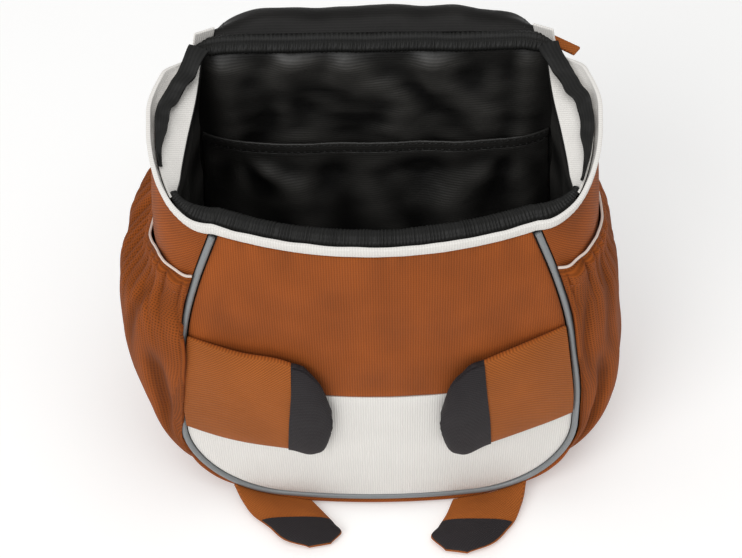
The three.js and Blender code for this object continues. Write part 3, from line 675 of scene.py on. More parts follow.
def roll(name, line, section, around, rows, up):
    """A closed roll along a line; `section` gives its reach sideways and up, round it and along it."""
    line = resample(line, rows + 1)
    ahead = np.gradient(line, axis=0)
    ahead /= np.linalg.norm(ahead, axis=1, keepdims=True)
    high = np.array(up, float) - ahead * (ahead @ np.array(up, float))[:, None]
    high /= np.linalg.norm(high, axis=1, keepdims=True)
    aside = np.cross(ahead, high)
    turn, share = np.meshgrid(np.linspace(0, 1, around + 1), np.linspace(0, 1, rows + 1))
    reach, rise = section(turn, share)
    points = to_frame(line[:, None] + aside[:, None] * reach[..., None] + high[:, None] * rise[..., None])
    girth = np.linalg.norm(np.diff(points[rows // 2], axis=0), axis=1).sum()
    distance = along(line) / 1000
    bm = bmesh.new()
    bmesh.ops.create_grid(bm, x_segments=around, y_segments=rows, size=0.5)
    cloth_map = bm.loops.layers.uv.new("cloth")
    for face in bm.faces:
        for loop in face.loops:
            co = loop.vert.co
            loop[cloth_map].uv = ((co.x + 0.5) * girth, distance[round((co.y + 0.5) * rows)])
    for vert in bm.verts:
        vert.co = points[round((vert.co.y + 0.5) * rows), round((vert.co.x + 0.5) * around)]
    bmesh.ops.remove_doubles(bm, verts=bm.verts[:], dist=1e-7)
    bmesh.ops.holes_fill(bm, edges=[edge for edge in bm.edges if edge.is_boundary], sides=0)
    return finish_mesh(name, bm)


def round_section(radius):
    return lambda turn, share: (radius * np.cos(2 * np.pi * turn), radius * np.sin(2 * np.pi * turn))


def stitching(name, lines, tint):
    """Rows of small stitches along lines that lie on the cloth."""
    sizes = bpy.context.scene.backpack_sizes
    bm = bmesh.new()
    pitch = sizes.stitch + sizes.stitch_gap
    for line in lines:
        points = to_frame(line)
        total = along(points)[-1]
        count = max(int(total / pitch), 2)
        ends = resample(points, count * 2 + 1)
        for start, end in zip(ends[:-1:2], ends[1::2]):
            ahead = Vector(end - start)
            turn = ahead.to_track_quat("X", "Z").to_matrix().to_4x4()
            shape = Matrix.Diagonal((sizes.stitch / 2, sizes.stitch_radius, sizes.stitch_radius, 1))
            place = Matrix.Translation(Vector((start + end) / 2)) @ turn @ shape
            bmesh.ops.create_icosphere(bm, subdivisions=1, radius=1.0, matrix=place)
    made = finish_mesh(name, bm)
    made.data.materials.append(sewing_thread(tint))
    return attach(made, "root")


def dress(made, nodes, material):
    """Gives a piece its cloth, and lets it stand for its solids in the frame."""
    made.data.materials.append(material)
    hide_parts(*nodes)
    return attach(made, "root")


def panel(node, cloth, thick, material, rests_on=(), with_pieces=()):
    """One panel of cloth, of a given thickness, in place of one solid."""
    made = dress(sew(f"{node}_cloth", cloth, thick), [node], material)
    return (made, list(rests_on), list(with_pieces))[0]


def add(tree, kind, inputs=None, **settings):
    """Adds a node with its settings, and fills its inputs with values or other nodes' outputs."""
    made = tree.nodes.new(kind)
    for key, value in settings.items():
        setattr(made, key, value)
    for key, value in (inputs or {}).items():
        if isinstance(value, bpy.types.NodeSocket):
            tree.links.new(value, made.inputs[key])
        else:
            made.inputs[key].default_value = value
    return made


def blank(name, **shader):
    """A new material with only its main shader, and that shader's constant values."""
    made = bpy.data.materials.new(name)
    made.use_nodes = True
    tree = made.node_tree
    tree.nodes.clear()
    values = {key.replace("_", " "): value for key, value in shader.items()}
    surface = add(tree, "ShaderNodeBsdfPrincipled", values)
    add(tree, "ShaderNodeOutputMaterial", {"Surface": surface.outputs["BSDF"]})
    return made, tree, surface


def rgba(colour, share=1.0):
    return (*[min(part * share, 1.0) for part in colour], 1.0)


# One wave of Blender's wave texture over a length of 1
WAVE_OF_ONE = 2 * math.pi / 20
# Scales of the noise, in patches a metre: uneven dye, crinkles, glass beads and moulded grain
PATCHES = 26.0
CRINKLES = 90.0
BEADS = 1600.0
GRAIN = 2500.0
# Scale of the twist of the sewing thread
TWIST = 700.0


def once(make):
    """Makes each material only once, from the sizes and colours that are set."""

    def get(*names):
        scene = bpy.context.scene
        name = make.__name__ + "".join(f"_{part}" for part in names)
        found = bpy.data.materials.get(name)
        return found or make(name, scene.backpack_sizes, scene.backpack_colours, *names)

    return get


def fold_shade(tree, depth):
    """Painted shade and light: the cloth's colour darker in its creases and lighter on its ridges, by its
    fold height.
    """
    fold = add(tree, "ShaderNodeAttribute", attribute_name="fold").outputs["Fac"]
    return add(tree, "ShaderNodeMapRange", {0: fold, 1: -1.0, 2: 1.0, 3: 1 - depth, 4: 1 + depth}).outputs[0]


def weave(name, colour, pitch, turn, ribs, contrast, uneven=0.10, dots=False, creased=0.12, **shader):
    """Woven yarn: rounded threads that pass over and under each other, in uneven dye, with painted light on
    the threads' crowns, painted shade where they dip, and painted shade in the cloth's creases.
    """
    made, tree, surface = blank(name, **shader)
    place = add(tree, "ShaderNodeTexCoord")
    spacing = {"Vector": place.outputs["UV"], "Rotation": (0, 0, turn), "Scale": (1 / pitch, 1 / pitch, 1)}
    threads = add(tree, "ShaderNodeMapping", spacing).outputs["Vector"]
    wave = {"Vector": threads, "Scale": WAVE_OF_ONE, "Distortion": 0.5, "Detail Scale": 0.6}
    warp = add(tree, "ShaderNodeTexWave", wave, bands_direction="X").outputs["Fac"]
    weft = add(tree, "ShaderNodeTexWave", wave, bands_direction="Y").outputs["Fac"]
    if dots:
        crossing = add(tree, "ShaderNodeMath", {0: warp, 1: weft}, operation="MAXIMUM").outputs[0]
    else:
        over = add(tree, "ShaderNodeTexChecker", {"Vector": threads, "Scale": 1.0}).outputs["Fac"]
        crossing = add(tree, "ShaderNodeMix", {0: over, 2: warp, 3: weft}, data_type="FLOAT").outputs[0]
    height = add(tree, "ShaderNodeMix", {0: ribs, 2: crossing, 3: warp}, data_type="FLOAT").outputs[0]
    # The threads painted lighter on their crowns and darker where they dip, as painted light and shade
    dark, light = rgba(colour, 1 - contrast), rgba(colour, 1 + contrast * 0.7)
    shade = add(tree, "ShaderNodeMix", {0: height, 6: dark, 7: light}, data_type="RGBA").outputs[2]
    spots = {"Vector": place.outputs["Object"], "Scale": PATCHES, "Detail": 4.0}
    patches = add(tree, "ShaderNodeTexNoise", spots).outputs["Fac"]
    range_of = {0: patches, 1: 0.3, 2: 0.7, 3: 1 - uneven, 4: 1 + uneven}
    dye = add(tree, "ShaderNodeMapRange", range_of).outputs[0]
    # Painted shade in the creases and painted light on the ridges, over the uneven dye
    shading = {0: dye, 1: fold_shade(tree, creased)}
    lit = add(tree, "ShaderNodeMath", shading, operation="MULTIPLY").outputs[0]
    dyed_and_shaded = add(tree, "ShaderNodeHueSaturation", {"Color": shade, "Value": lit}).outputs["Color"]
    tree.links.new(dyed_and_shaded, surface.inputs["Base Color"])
    bump = add(tree, "ShaderNodeBump", {"Strength": 0.45, "Distance": pitch * 0.25, "Height": height})
    tree.links.new(bump.outputs["Normal"], surface.inputs["Normal"])
    return made


@once
def woven_polyester_brown(name, sizes, colours, cut):
    # Matt brown yarn with a faint sheen; the cut of the piece turns its threads. The slant cut's brown is
    # painted lighter as painted light, and each cut has its own depth of painted shade in creases
    turn, ribs, dots, contrast, creased, shine, colour = {
        "straight": (0.0, 0.55, False, 0.25, 0.12, 0.22, colours.brown),
        "side": (0.75, 0.6, False, 0.3, 0.12, 0.22, colours.brown),
        "slant": (0.75, 0.6, False, 0.3, 0.12, 0.22, colours.light_brown),
        "open": (0.1, 0.0, True, 0.5, 0.22, 0.1, colours.mesh_brown),
    }[cut]
    pitch = sizes.thread * (1.35 if dots else 1.0)
    return weave(
        name, colour, pitch, turn, ribs, contrast, dots=dots, creased=creased,
        Roughness=0.8, Sheen_Weight=0.03, Sheen_Roughness=0.4, Specular_IOR_Level=shine,
    )


@once
def woven_polyester_white(name, sizes, colours):
    # Matt white yarn with fine upright ribs
    return weave(
        name, colours.white, sizes.thread, turn=0.0, ribs=0.75, contrast=0.07, uneven=0.02, creased=0.02,
        Roughness=0.85, Sheen_Weight=0.03, Sheen_Roughness=0.5, Specular_IOR_Level=0.3,
    )


@once
def woven_polyester_dark(name, sizes, colours):
    # Nearly black yarn, woven as the brown is, so its threads still show in grey through the painted light on
    # their crowns
    return weave(
        name, colours.dark, sizes.thread, turn=0.35, ribs=0.5, contrast=0.35,
        Roughness=0.78, Sheen_Weight=0.03, Sheen_Roughness=0.5, Specular_IOR_Level=0.22,
    )


def nylon(name, colour, rib, shine, crinkle, creased):
    """Filament nylon: fine ribs across it with painted light and shade on them, small crinkles that catch the
    light, and painted shade in its creases.
    """
    made, tree, surface = blank(name, Roughness=0.5, Specular_IOR_Level=shine)
    place = add(tree, "ShaderNodeTexCoord")
    spacing = {"Vector": place.outputs["UV"], "Scale": (1 / rib, 1 / rib, 1)}
    threads = add(tree, "ShaderNodeMapping", spacing).outputs["Vector"]
    wave = {"Vector": threads, "Scale": WAVE_OF_ONE, "Distortion": 1.6, "Detail Scale": 0.3}
    ribs = add(tree, "ShaderNodeTexWave", wave, bands_direction="Y").outputs["Fac"]
    # The ribs painted lighter and darker, as painted light and shade
    dark, light = rgba(colour, 0.75), rgba(colour, 1.3)
    shade = add(tree, "ShaderNodeMix", {0: ribs, 6: dark, 7: light}, data_type="RGBA").outputs[2]
    lit = add(tree, "ShaderNodeHueSaturation", {"Color": shade, "Value": fold_shade(tree, creased)})
    tree.links.new(lit.outputs["Color"], surface.inputs["Base Color"])
    spots = {"Vector": place.outputs["Object"], "Scale": CRINKLES, "Detail": 5.0}
    creases = add(tree, "ShaderNodeTexNoise", spots).outputs["Fac"]
    soft = add(tree, "ShaderNodeBump", {"Strength": crinkle, "Distance": 0.002, "Height": creases})
    ridges = {"Strength": 0.2, "Distance": rib * 0.12, "Height": ribs, "Normal": soft.outputs["Normal"]}
    fine = add(tree, "ShaderNodeBump", ridges)
    tree.links.new(fine.outputs["Normal"], surface.inputs["Normal"])
    return made


@once
def lining_nylon(name, sizes, colours):
    # Black lining with a soft shine, and painted light on the ridges of its folds and painted shade in their
    # creases
    return nylon(name, colours.lining, sizes.nylon_rib, shine=0.65, crinkle=0.35, creased=0.8)


@once
def lid_nylon(name, sizes, colours):
    # The same black cloth pressed flat on the lid, where it shines less; its colour is painted darker than
    # the lining's, as painted shade where the top lamp lights the lid, and it has painted shade in its
    # creases
    return nylon(name, colours.lid, sizes.nylon_rib, shine=0.16, crinkle=0.4, creased=0.28)


@once
def channel_nylon(name, sizes, colours):
    # Doubled black nylon, duller, with painted light on the ridges of its gathers and painted shade in their
    # creases
    return nylon(name, colours.channel, sizes.nylon_rib, shine=0.24, crinkle=0.35, creased=0.5)


def grained(name, colour, scale, contrast, strength, depth, **shader):
    """A smooth surface with a fine even grain, in its colour and in its height."""
    made, tree, surface = blank(name, **shader)
    place = add(tree, "ShaderNodeTexCoord").outputs["Object"]
    grain = add(tree, "ShaderNodeTexNoise", {"Vector": place, "Scale": scale, "Detail": 2.0}).outputs["Fac"]
    dark, light = rgba(colour, 1 - contrast), rgba(colour, 1 + contrast)
    shade = add(tree, "ShaderNodeMix", {0: grain, 6: dark, 7: light}, data_type="RGBA").outputs[2]
    tree.links.new(shade, surface.inputs["Base Color"])
    bump = add(tree, "ShaderNodeBump", {"Strength": strength, "Distance": depth, "Height": grain})
    tree.links.new(bump.outputs["Normal"], surface.inputs["Normal"])
    return made


@once
def reflective_piping(name, sizes, colours):
    # Grey film of tiny glass beads over a cord: satin, with a fine grain
    finish = {"Roughness": 0.42, "Metallic": 0.15, "IOR": 1.5}
    return grained(name, colours.piping, BEADS, contrast=0.2, strength=0.15, depth=0.0002, **finish)


@once
def moulded_plastic(name, sizes, colours):
    # Black acetal, moulded: satin, with a fine even spark-eroded grain
    finish = {"Roughness": 0.4, "IOR": 1.48}
    return grained(name, colours.plastic, GRAIN, contrast=0.15, strength=0.2, depth=0.0001, **finish)


@once
def woven_webbing(name, sizes, colours):
    # Thick black webbing of coarse yarn on the slant
    finish = {"Roughness": 0.7, "Sheen_Weight": 0.1, "IOR": 1.5}
    return weave(name, colours.webbing, pitch=0.0016, turn=0.78, ribs=0.5, contrast=0.4, **finish)


@once
def elastic_trim(name, sizes, colours):
    # Pale knitted elastic with fine ribs across it
    finish = {"Roughness": 0.85, "Sheen_Weight": 0.1, "IOR": 1.45}
    return weave(name, colours.trim, pitch=0.0011, turn=0.0, ribs=0.6, contrast=0.12, uneven=0.04, **finish)


@once
def sewing_thread(name, sizes, colours, tint):
    # Twisted polyester thread: a slight shine, and a slanted twist along each stitch, painted darker and
    # lighter in stripes as painted shade and light
    colour = {"brown": colours.brown, "white": colours.white, "black": colours.channel}[tint]
    made, tree, surface = blank(name, Roughness=0.6, IOR=1.5)
    place = add(tree, "ShaderNodeTexCoord").outputs["Object"]
    wave = {"Vector": place, "Scale": TWIST}
    twist = add(tree, "ShaderNodeTexWave", wave, bands_direction="DIAGONAL").outputs["Fac"]
    dark, light = rgba(colour, 0.75), rgba(colour, 1.1)
    shade = add(tree, "ShaderNodeMix", {0: twist, 6: dark, 7: light}, data_type="RGBA").outputs[2]
    tree.links.new(shade, surface.inputs["Base Color"])
    return made


@once
def studio_floor(name, sizes, colours):
    # Plain pale paper, matt, lit a little from below as a light table is
    made, _, surface = blank(name, Roughness=0.9, Emission_Color=(1, 1, 1, 1), Emission_Strength=0.22)
    surface.inputs["Base Color"].default_value = rgba(colours.floor)
    return made


class BACKPACK_OT_front(bpy.types.Operator):
    """Brown upper front and white belly, with their soft wrinkles."""

    bl_idname = "backpack.front"
    bl_label = "Front Panels"

    def execute(self, context):
        sizes = context.scene.backpack_sizes
        wrinkle = sizes.front_wrinkle * 1000

        def sewn_edges(u, past_seam):
            return 0.5 * np.exp(past_seam / 1.2) + 0.7 * np.exp((np.abs(2 * u - 1) - 1) * 60)

        def upper(u, v):
            z = mix(BELLY_SEAM_Z + GAP / 2, RIM_Z, v)
            x = (2 * u - 1) * (FRONT("half", z) - EDGE)
            return stack(x, front_y(x, z), z)

        def upper_relief(u, v, points):
            x, z = points[..., 0], points[..., 2]
            broad = hills(x, z, 48, 1) + 0.5 * hills(x, z, 21, 2)
            pucker = 0.35 * np.exp((z - RIM_Z) / 8) * hills(x, z * 0.2, 6, 3)
            return (wrinkle * broad + pucker) * between_seams(u, 8) - sewn_edges(u, BELLY_SEAM_Z - z)

        def belly(u, v):
            z, half = FRONT_LINE.row(v, EDGE, BELLY_SEAM_Z - GAP / 2)
            x = (2 * u - 1) * half
            return stack(x, front_y(x, z), z)

        def belly_relief(u, v, points):
            x, z = points[..., 0], points[..., 2]
            broad = hills(x, z, 40, 4) + 0.4 * hills(x, z, 17, 5)
            held = between_seams(u, 8) * step(v, 0, 0.15)
            return 0.7 * wrinkle * broad * held - sewn_edges(u, z - BELLY_SEAM_Z)

        out = (0, -1, 0)
        thick = sizes.shell * 1000
        brown, white = woven_polyester_brown("straight"), woven_polyester_white()
        top = Cloth(upper, 120, 76, out, upper_relief)
        panel("front_upper", top, thick, brown, ["front_piping", "rim_band"])
        low = Cloth(belly, 110, 72, out, belly_relief)
        panel("front_belly", low, thick, white, ["front_piping"])
        return {"FINISHED"}


class BACKPACK_OT_body(bpy.types.Operator):
    """Brown sides, base and padded back panel."""

    bl_idname = "backpack.body"
    bl_label = "Sides, Base and Back"

    def execute(self, context):
        sizes = context.scene.backpack_sizes
        thick = sizes.shell * 1000
        wrinkle = sizes.front_wrinkle * 1000
        brown = woven_polyester_brown("side")
        for key, side in SIDES.items():

            def flank(u, v):
                across = mix(clear_of(v, seam=0, distance=SIDE_EDGE), 1, ease(u))
                low = 6 / SIDE_TALL * step(across, 0.9, 0.97)
                return mirrored(side, side_point(mix(low, 1, v), across))

            def flank_relief(u, v, points):
                held = step(u, 0, 0.12) * step(1 - u, 0, 0.12)
                y, z = points[..., 1], points[..., 2]
                return wrinkle * held * (hills(y, z, 36, 6) + 0.5 * hills(y, z, 15, 7))

            cloth = Cloth(flank, 60, 90, (side, 0, 0), flank_relief)
            seams = ["front_piping", "back_panel"]
            panel(f"side_{key}", cloth, thick, brown, seams)

        def base(u, v):
            start = clear_of(np.ones_like(v), seam=0, distance=SIDE_EDGE)
            edge = side_point(np.ones_like(v), mix(start, 1, ease(v)))
            x = (2 * u - 1) * (edge[..., 0] - GAP)
            ahead = front_y(x, FRONT_LINE.bottom) - front_y(edge[..., 0], FRONT_LINE.bottom)
            return stack(x, edge[..., 1] + ahead * (1 - ease(v)), edge[..., 2])

        cloth = Cloth(base, 60, 50, (0, 0, -1))
        panel("base", cloth, thick, brown, ["side_left", "side_right"])
        self.make_front_edge(brown)

        def back(u, v):
            z, half = PANEL_LINE.row(v, 0, BACK_RIM_Z - 2.5)
            x = (2 * u - 1) * half
            fill = between_seams(u, 6) * between_seams(v, 6)
            channels = 0.9 * dent(np.abs(x) - 62, 2.2) + 0.9 * dent(x, 2.2)
            swell = hills(x, z, 34, 8) * 0.4
            return stack(x, BACK_Y + mix(5, 8, fill) + (swell - channels) * fill, z)

        cloth = Cloth(back, 90, 90, (0, 1, 0))
        made = dress(
            sew("back_panel_pad", cloth, cloth.outer[..., 1] - BACK_Y), ["back_panel"],
            woven_polyester_brown("slant"),
        )
        return {"FINISHED"}

    def make_front_edge(self, brown):
        """The base's cloth where it is turned up below the front piping, further forward between the feet."""
        run = np.linspace(0.76, 1, 50)
        x, z, _ = FRONT_LINE.at(run, -mix(3.9, 3.2, step(run, 0.88, 0.93)))
        low = np.linspace(-0.98, 0.98, 60) * x[-1]
        x = np.concatenate([-x, low, x[::-1]])
        z = np.concatenate([z, np.full_like(low, z[-1]), z[::-1]])
        ahead = mix(-0.9, 1.0, step(np.abs(x), 45, 75))
        half = FRONT("half", z)
        line = stack(x, front_y(np.clip(x, -half, half), z) + ahead, z)

        def turned_up(turn, share):
            end = np.minimum(share, 1 - share)
            full = 0.3 + mix(2.0, 1.2, step(end, 0.12, 0.2)) * step(end, 0, 0.1)
            return round_section(full)(turn, share)

        edge = roll("base_front_edge", line, turned_up, around=12, rows=220, up=(0, -1, 0))
        edge.data.materials.append(brown)
        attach(edge, "root")


class BACKPACK_OT_piping(bpy.types.Operator):
    """Grey reflective piping in the seam round the front."""

    bl_idname = "backpack.piping"
    bl_label = "Front Piping"

    def execute(self, context):
        run = np.linspace(0.006, 1, 160)
        x, z, _ = FRONT_LINE.at(run)
        right = stack(x, front_y(x, z), z)
        low = np.linspace(-0.97, 0.97, 60) * x[-1]
        bottom = stack(low, front_y(low, FRONT_LINE.bottom), FRONT_LINE.bottom)
        line = np.concatenate([mirrored(-1, right), bottom, right[::-1]])
        section = round_section(PIPING_RADIUS)
        made = roll("front_piping_cord", line, section, around=12, rows=260, up=(0, -1, 0))
        dress(made, ["front_piping"], reflective_piping())
        return {"FINISHED"}


class BACKPACK_OT_rim(bpy.types.Operator):
    """White band on the rim, and its line of stitches."""

    bl_idname = "backpack.rim"
    bl_label = "Rim Band"

    def execute(self, context):
        def band(u, v):
            wave = 0.5 * hills(u * 40, v, 1.0, 9)
            end = np.minimum(u, 1 - u)
            tucked = 1 - step(end, 0, 0.045)
            lean = 2 + 2.5 * (1 - step(end, 0.04, 0.13))
            inward = 7 * tucked - lean * v - 0.7 * np.sin(np.pi * v) + 0.3 * wave
            return rim_point(u, inward, GAP + v * (BAND_TALL * (1 - 0.6 * tucked) + wave))

        cloth = Cloth(band, 300, 8, rim_point(np.full((1, 1), 0.5), -1.0, 0.0) * np.array((0, 1, 0)))
        white = woven_polyester_white()
        panel("rim_band", cloth, BAND_THICK, white, ["front_upper"])
        stitching("rim_stitching", [cloth.line(row=3, lift=-0.12)[14:-14]], "white")
        return {"FINISHED"}


class BACKPACK_OT_channels(bpy.types.Operator):
    """Gathered black drawcord channels round the mouth, and the white collars under them."""

    bl_idname = "backpack.channels"
    bl_label = "Drawcord Channels"

    def execute(self, context):
        sizes = context.scene.backpack_sizes
        depth = sizes.channel_gather * 1000
        black = channel_nylon()
        run = np.linspace(0.228, 0.772, 400)
        full = step(np.minimum(run - run[0], run[-1] - run), 0, 0.07)
        line = rim_point(run, BAND_THICK + mix(2.0, 5.4, full), GAP + mix(3.0, 4.2, full))

        def gathered(turn, share):
            angle = 2 * np.pi * turn
            ends = 0.35 + 0.65 * step(np.minimum(share, 1 - share), 0, 0.13)
            fold = depth * (gathers(share, 118, 10) - 0.6) * (0.55 + 0.45 * np.sin(angle))
            seam = 0.7 * dent(np.cos(angle) - 0.5, 0.12)
            inward = np.where(np.cos(angle) > 0, 5.2, 6.0 + 1.7 * waves(share * 10, 12))
            reach = (inward * ends + fold) * np.cos(angle)
            return reach, (4.2 * ends + fold - seam) * np.sin(angle)

        front = roll("channel_front_gathers", line, gathered, around=36, rows=900, up=(0, 0, 1))
        dress(front, ["channel_front"], black)

        def ridges(turn, share):
            angle = 2 * np.pi * turn
            aside = np.cos(angle)
            ends = 0.65 + 0.35 * step(np.minimum(share, 1 - share), 0, 0.05)
            waist = 1 - 0.45 * dent(aside, 0.35)
            lower = (gathers(share, 84, 13) - 0.5) * dent(aside - 0.7, 0.32)
            upper = (gathers(share, 76, 14) - 0.5) * dent(aside + 0.7, 0.32)
            sag = 0.8 * waves(share * 9, 15)
            rise = (3.9 * waist * ends + 1.5 * depth * (lower + upper)) * np.sin(angle)
            return 6.6 * ends * aside + 0.8 * depth * (lower - upper), rise + sag

        x = np.linspace(-99, 99, 200)
        end = step(np.abs(x), 82, 99)
        line = stack(x, 72 - 1.5 * end, 250.2 - 1.5 * end)
        back = roll("channel_back_gathers", line, ridges, around=40, rows=640, up=(0, 0, 1))
        dress(back, ["channel_back"], black)

        for key, side in SIDES.items():

            def strip(u, v):
                back_end = 1 - step(u, 0, 0.16)
                bow = STRIP("bow", u) * (1.0 if side < 0 else 0.55)
                zigzag = 2.4 * waves(u * 8, 16 + side) * (1 - u)
                wide = STRIP("wide", u) + 0.6 * zigzag
                rise = BAND_TALL * (1 - 0.1 * v) + 1.6 * hills(u * 9, v * 1.2, 1.0, 18 + side)
                inward = BAND_THICK + GAP + bow + np.maximum(zigzag, 0) + v * wide
                inner = rim_point(mix(0.003, STRIP_END[key], u), inward, rise)
                return mirrored(-side, inner + stack(back_end, 5 * back_end, back_end))

            cloth = Cloth(strip, 140, 16, (0, 0, 1))
            panel(f"channel_{key}", cloth, LINING_THICK, black, ["rim_band"])

            def collar(u, v):
                place = mix(0.008, 0.236, u)
                rim = mirrored(-1, rim_point(place, BAND_THICK + GAP, BAND_TALL * 0.6))
                edge = lining_point(np.zeros_like(u), mix(0.97, 0.2, u))
                edge[..., 2] += GAP + LINING_THICK
                return mirrored(side, mix(rim, edge, v[..., None]))

            def collar_relief(u, v, points):
                return 0.5 * hills(points[..., 1], points[..., 0], 14, 20) * np.sin(np.pi * v)

            cloth = Cloth(collar, 90, 20, (0, 0, 1), collar_relief)
            white = woven_polyester_white()
            panel(f"collar_{key}", cloth, LINING_THICK, white, ["rim_band"])
        return {"FINISHED"}


class BACKPACK_OT_lining(bpy.types.Operator):
    """Black lining bag with its inner pocket."""

    bl_idname = "backpack.lining"
    bl_label = "Lining"

    def execute(self, context):
        sizes = context.scene.backpack_sizes
        thick = sizes.lining * 1000
        wrinkle = sizes.lining_wrinkle * 1000
        black = lining_nylon()

        def front(u, v):
            z, half = FRONT_LINE.row(v, 5.4, RIM_Z - GAP)
            x = (2 * u - 1) * half
            return stack(x, front_y(x, z) + LINING_BEHIND, z)

        def front_relief(u, v, points):
            held = between_seams(u, 6) * step(v, 0, 0.2) * step(1 - v, 0.05, 0.4)
            return wrinkle * held * (0.6 + hills(points[..., 0], points[..., 2], 38, 21))

        cloth = Cloth(front, 70, 60, (0, 1, 0), front_relief)
        panel("lining_front", cloth, thick, black, ["rim_band"])

        def back(u, v):
            z, half = BACK_LINE.row(v, 2.6, BACK_RIM_Z - GAP)
            return stack((2 * u - 1) * half, BACK_Y - GAP - LINING_THICK, z)

        def back_relief(u, v, points):
            x, z = points[..., 0], points[..., 2]
            held = between_seams(u, 6) * step(v, 0, 0.1)
            fan = np.exp((z - BACK_RIM_Z) / 45) * (0.4 + np.cos(x / 7 + 4 * hills(x, z, 38, 22)))
            corner = step(np.abs(x), 55, 90) * np.cos(x / 4.6 + 1.5 * hills(x, z, 45, 41)) * 0.7
            soft = 1.3 * hills(x, z * 0.6, 34, 23) + 0.5 * hills(x * 0.5, z, 9, 24)
            tucked = 1 - step(z, BACK_RIM_Z - 9, BACK_RIM_Z)
            room = mix(0.4 * INNER("off", z) * between_seams(u, 6), 20, step(z, 170, 200))
            return np.minimum(wrinkle * held * tucked * np.maximum(0.8 + fan + corner + soft, 0), room)

        cloth = Cloth(back, 110, 110, (0, -1, 0), back_relief)
        panel("lining_back", cloth, thick, black, ["channel_back"])
        for key, side in SIDES.items():

            def flank(u, v):
                return mirrored(side, lining_point(v, mix(0.004, 0.996, ease(u))))

            def flank_relief(u, v, points):
                held = step(u, 0, 0.1) * step(1 - u, 0, 0.1) * step(v, 0, 0.1) * step(1 - v, 0, 0.1)
                return wrinkle * held * (0.5 + hills(points[..., 1], points[..., 2], 30, 25))

            cloth = Cloth(flank, 60, 70, (-side, 0, 0), flank_relief)
            panel(f"lining_{key}", cloth, thick, black, [f"collar_{key}"])

        def base(u, v):
            edge = lining_point(np.ones_like(v), mix(0.02, 0.99, ease(v)))
            return stack((2 * u - 1) * (edge[..., 0] - GAP), edge[..., 1], edge[..., 2])

        def base_relief(u, v, points):
            held = np.sin(np.pi * u) * np.sin(np.pi * v)
            return wrinkle * held * (0.5 + hills(points[..., 0], points[..., 1], 30, 26))

        cloth = Cloth(base, 50, 40, (0, 0, 1), base_relief)
        panel("lining_base", cloth, thick, black, ["base"])

        def inner(u, v):
            z = mix(INNER_LOW_Z, INNER_TOP_Z, v)
            half = mix(INNER("half", z), BACK("half", z) - 5, step(z, 50, 110))
            off = INNER("off", z) * between_seams(u, 6)
            return stack((2 * u - 1) * half, BACK_Y - 2 * GAP - 2 * LINING_THICK - off, z)

        def inner_relief(u, v, points):
            x, z = points[..., 0], points[..., 2]
            held = between_seams(u, 6) * step(v, 0, 0.15)
            drift = 2.2 * hills(x, z, 60, 27)
            folds = np.cos(x / 7.5 + drift) * (0.3 + 0.5 * np.exp((z - INNER_TOP_Z) / 60))
            billow = hills(x + 0.5 * z, z * 0.7, 38, 28) + 0.4 * hills(x, z, 17, 42)
            aside, down = 84 - np.abs(x), 182 - z
            corner = np.hypot(aside, down)
            turn = np.arctan2(down, aside)
            swags = np.cos(8 * turn + drift) * np.exp(-corner / 60) * step(corner, 6, 40)
            room = 0.45 * INNER("off", z) * between_seams(u, 6)
            lift = wrinkle * held * (folds + 1.8 * billow + 1.2 * swags) * (1 - 0.85 * step(v, 0.88, 1))
            return np.maximum(lift, -room)

        pocket = Cloth(inner, 150, 90, (0, -1, 0), inner_relief)

        def hem(u, v):
            edge = np.broadcast_to(pocket.outer[-1], (*u.shape, 3))
            ripple = 0.35 * hills(u * 60, v, 1.0, 29) * between_seams(u, 6)
            proud = 0.3 + ripple + 0.5 * np.sin(np.pi * v)
            return stack(edge[..., 0], edge[..., 1] - proud, edge[..., 2] + GAP + v * 8)

        cloth = Cloth(hem, 150, 10, (0, -1, 0))
        edge = dress(sew("inner_pocket_hem_cloth", cloth, thick), ["inner_pocket_hem"], black)
        rows = [cloth.line(row=k, lift=THREAD_LIFT) for k in (2, 8)]
        sewn = [edge, stitching("inner_pocket_stitching", rows, "black")]
        panel("inner_pocket", pocket, thick, black, ["lining_back"], sewn)
        return {"FINISHED"}


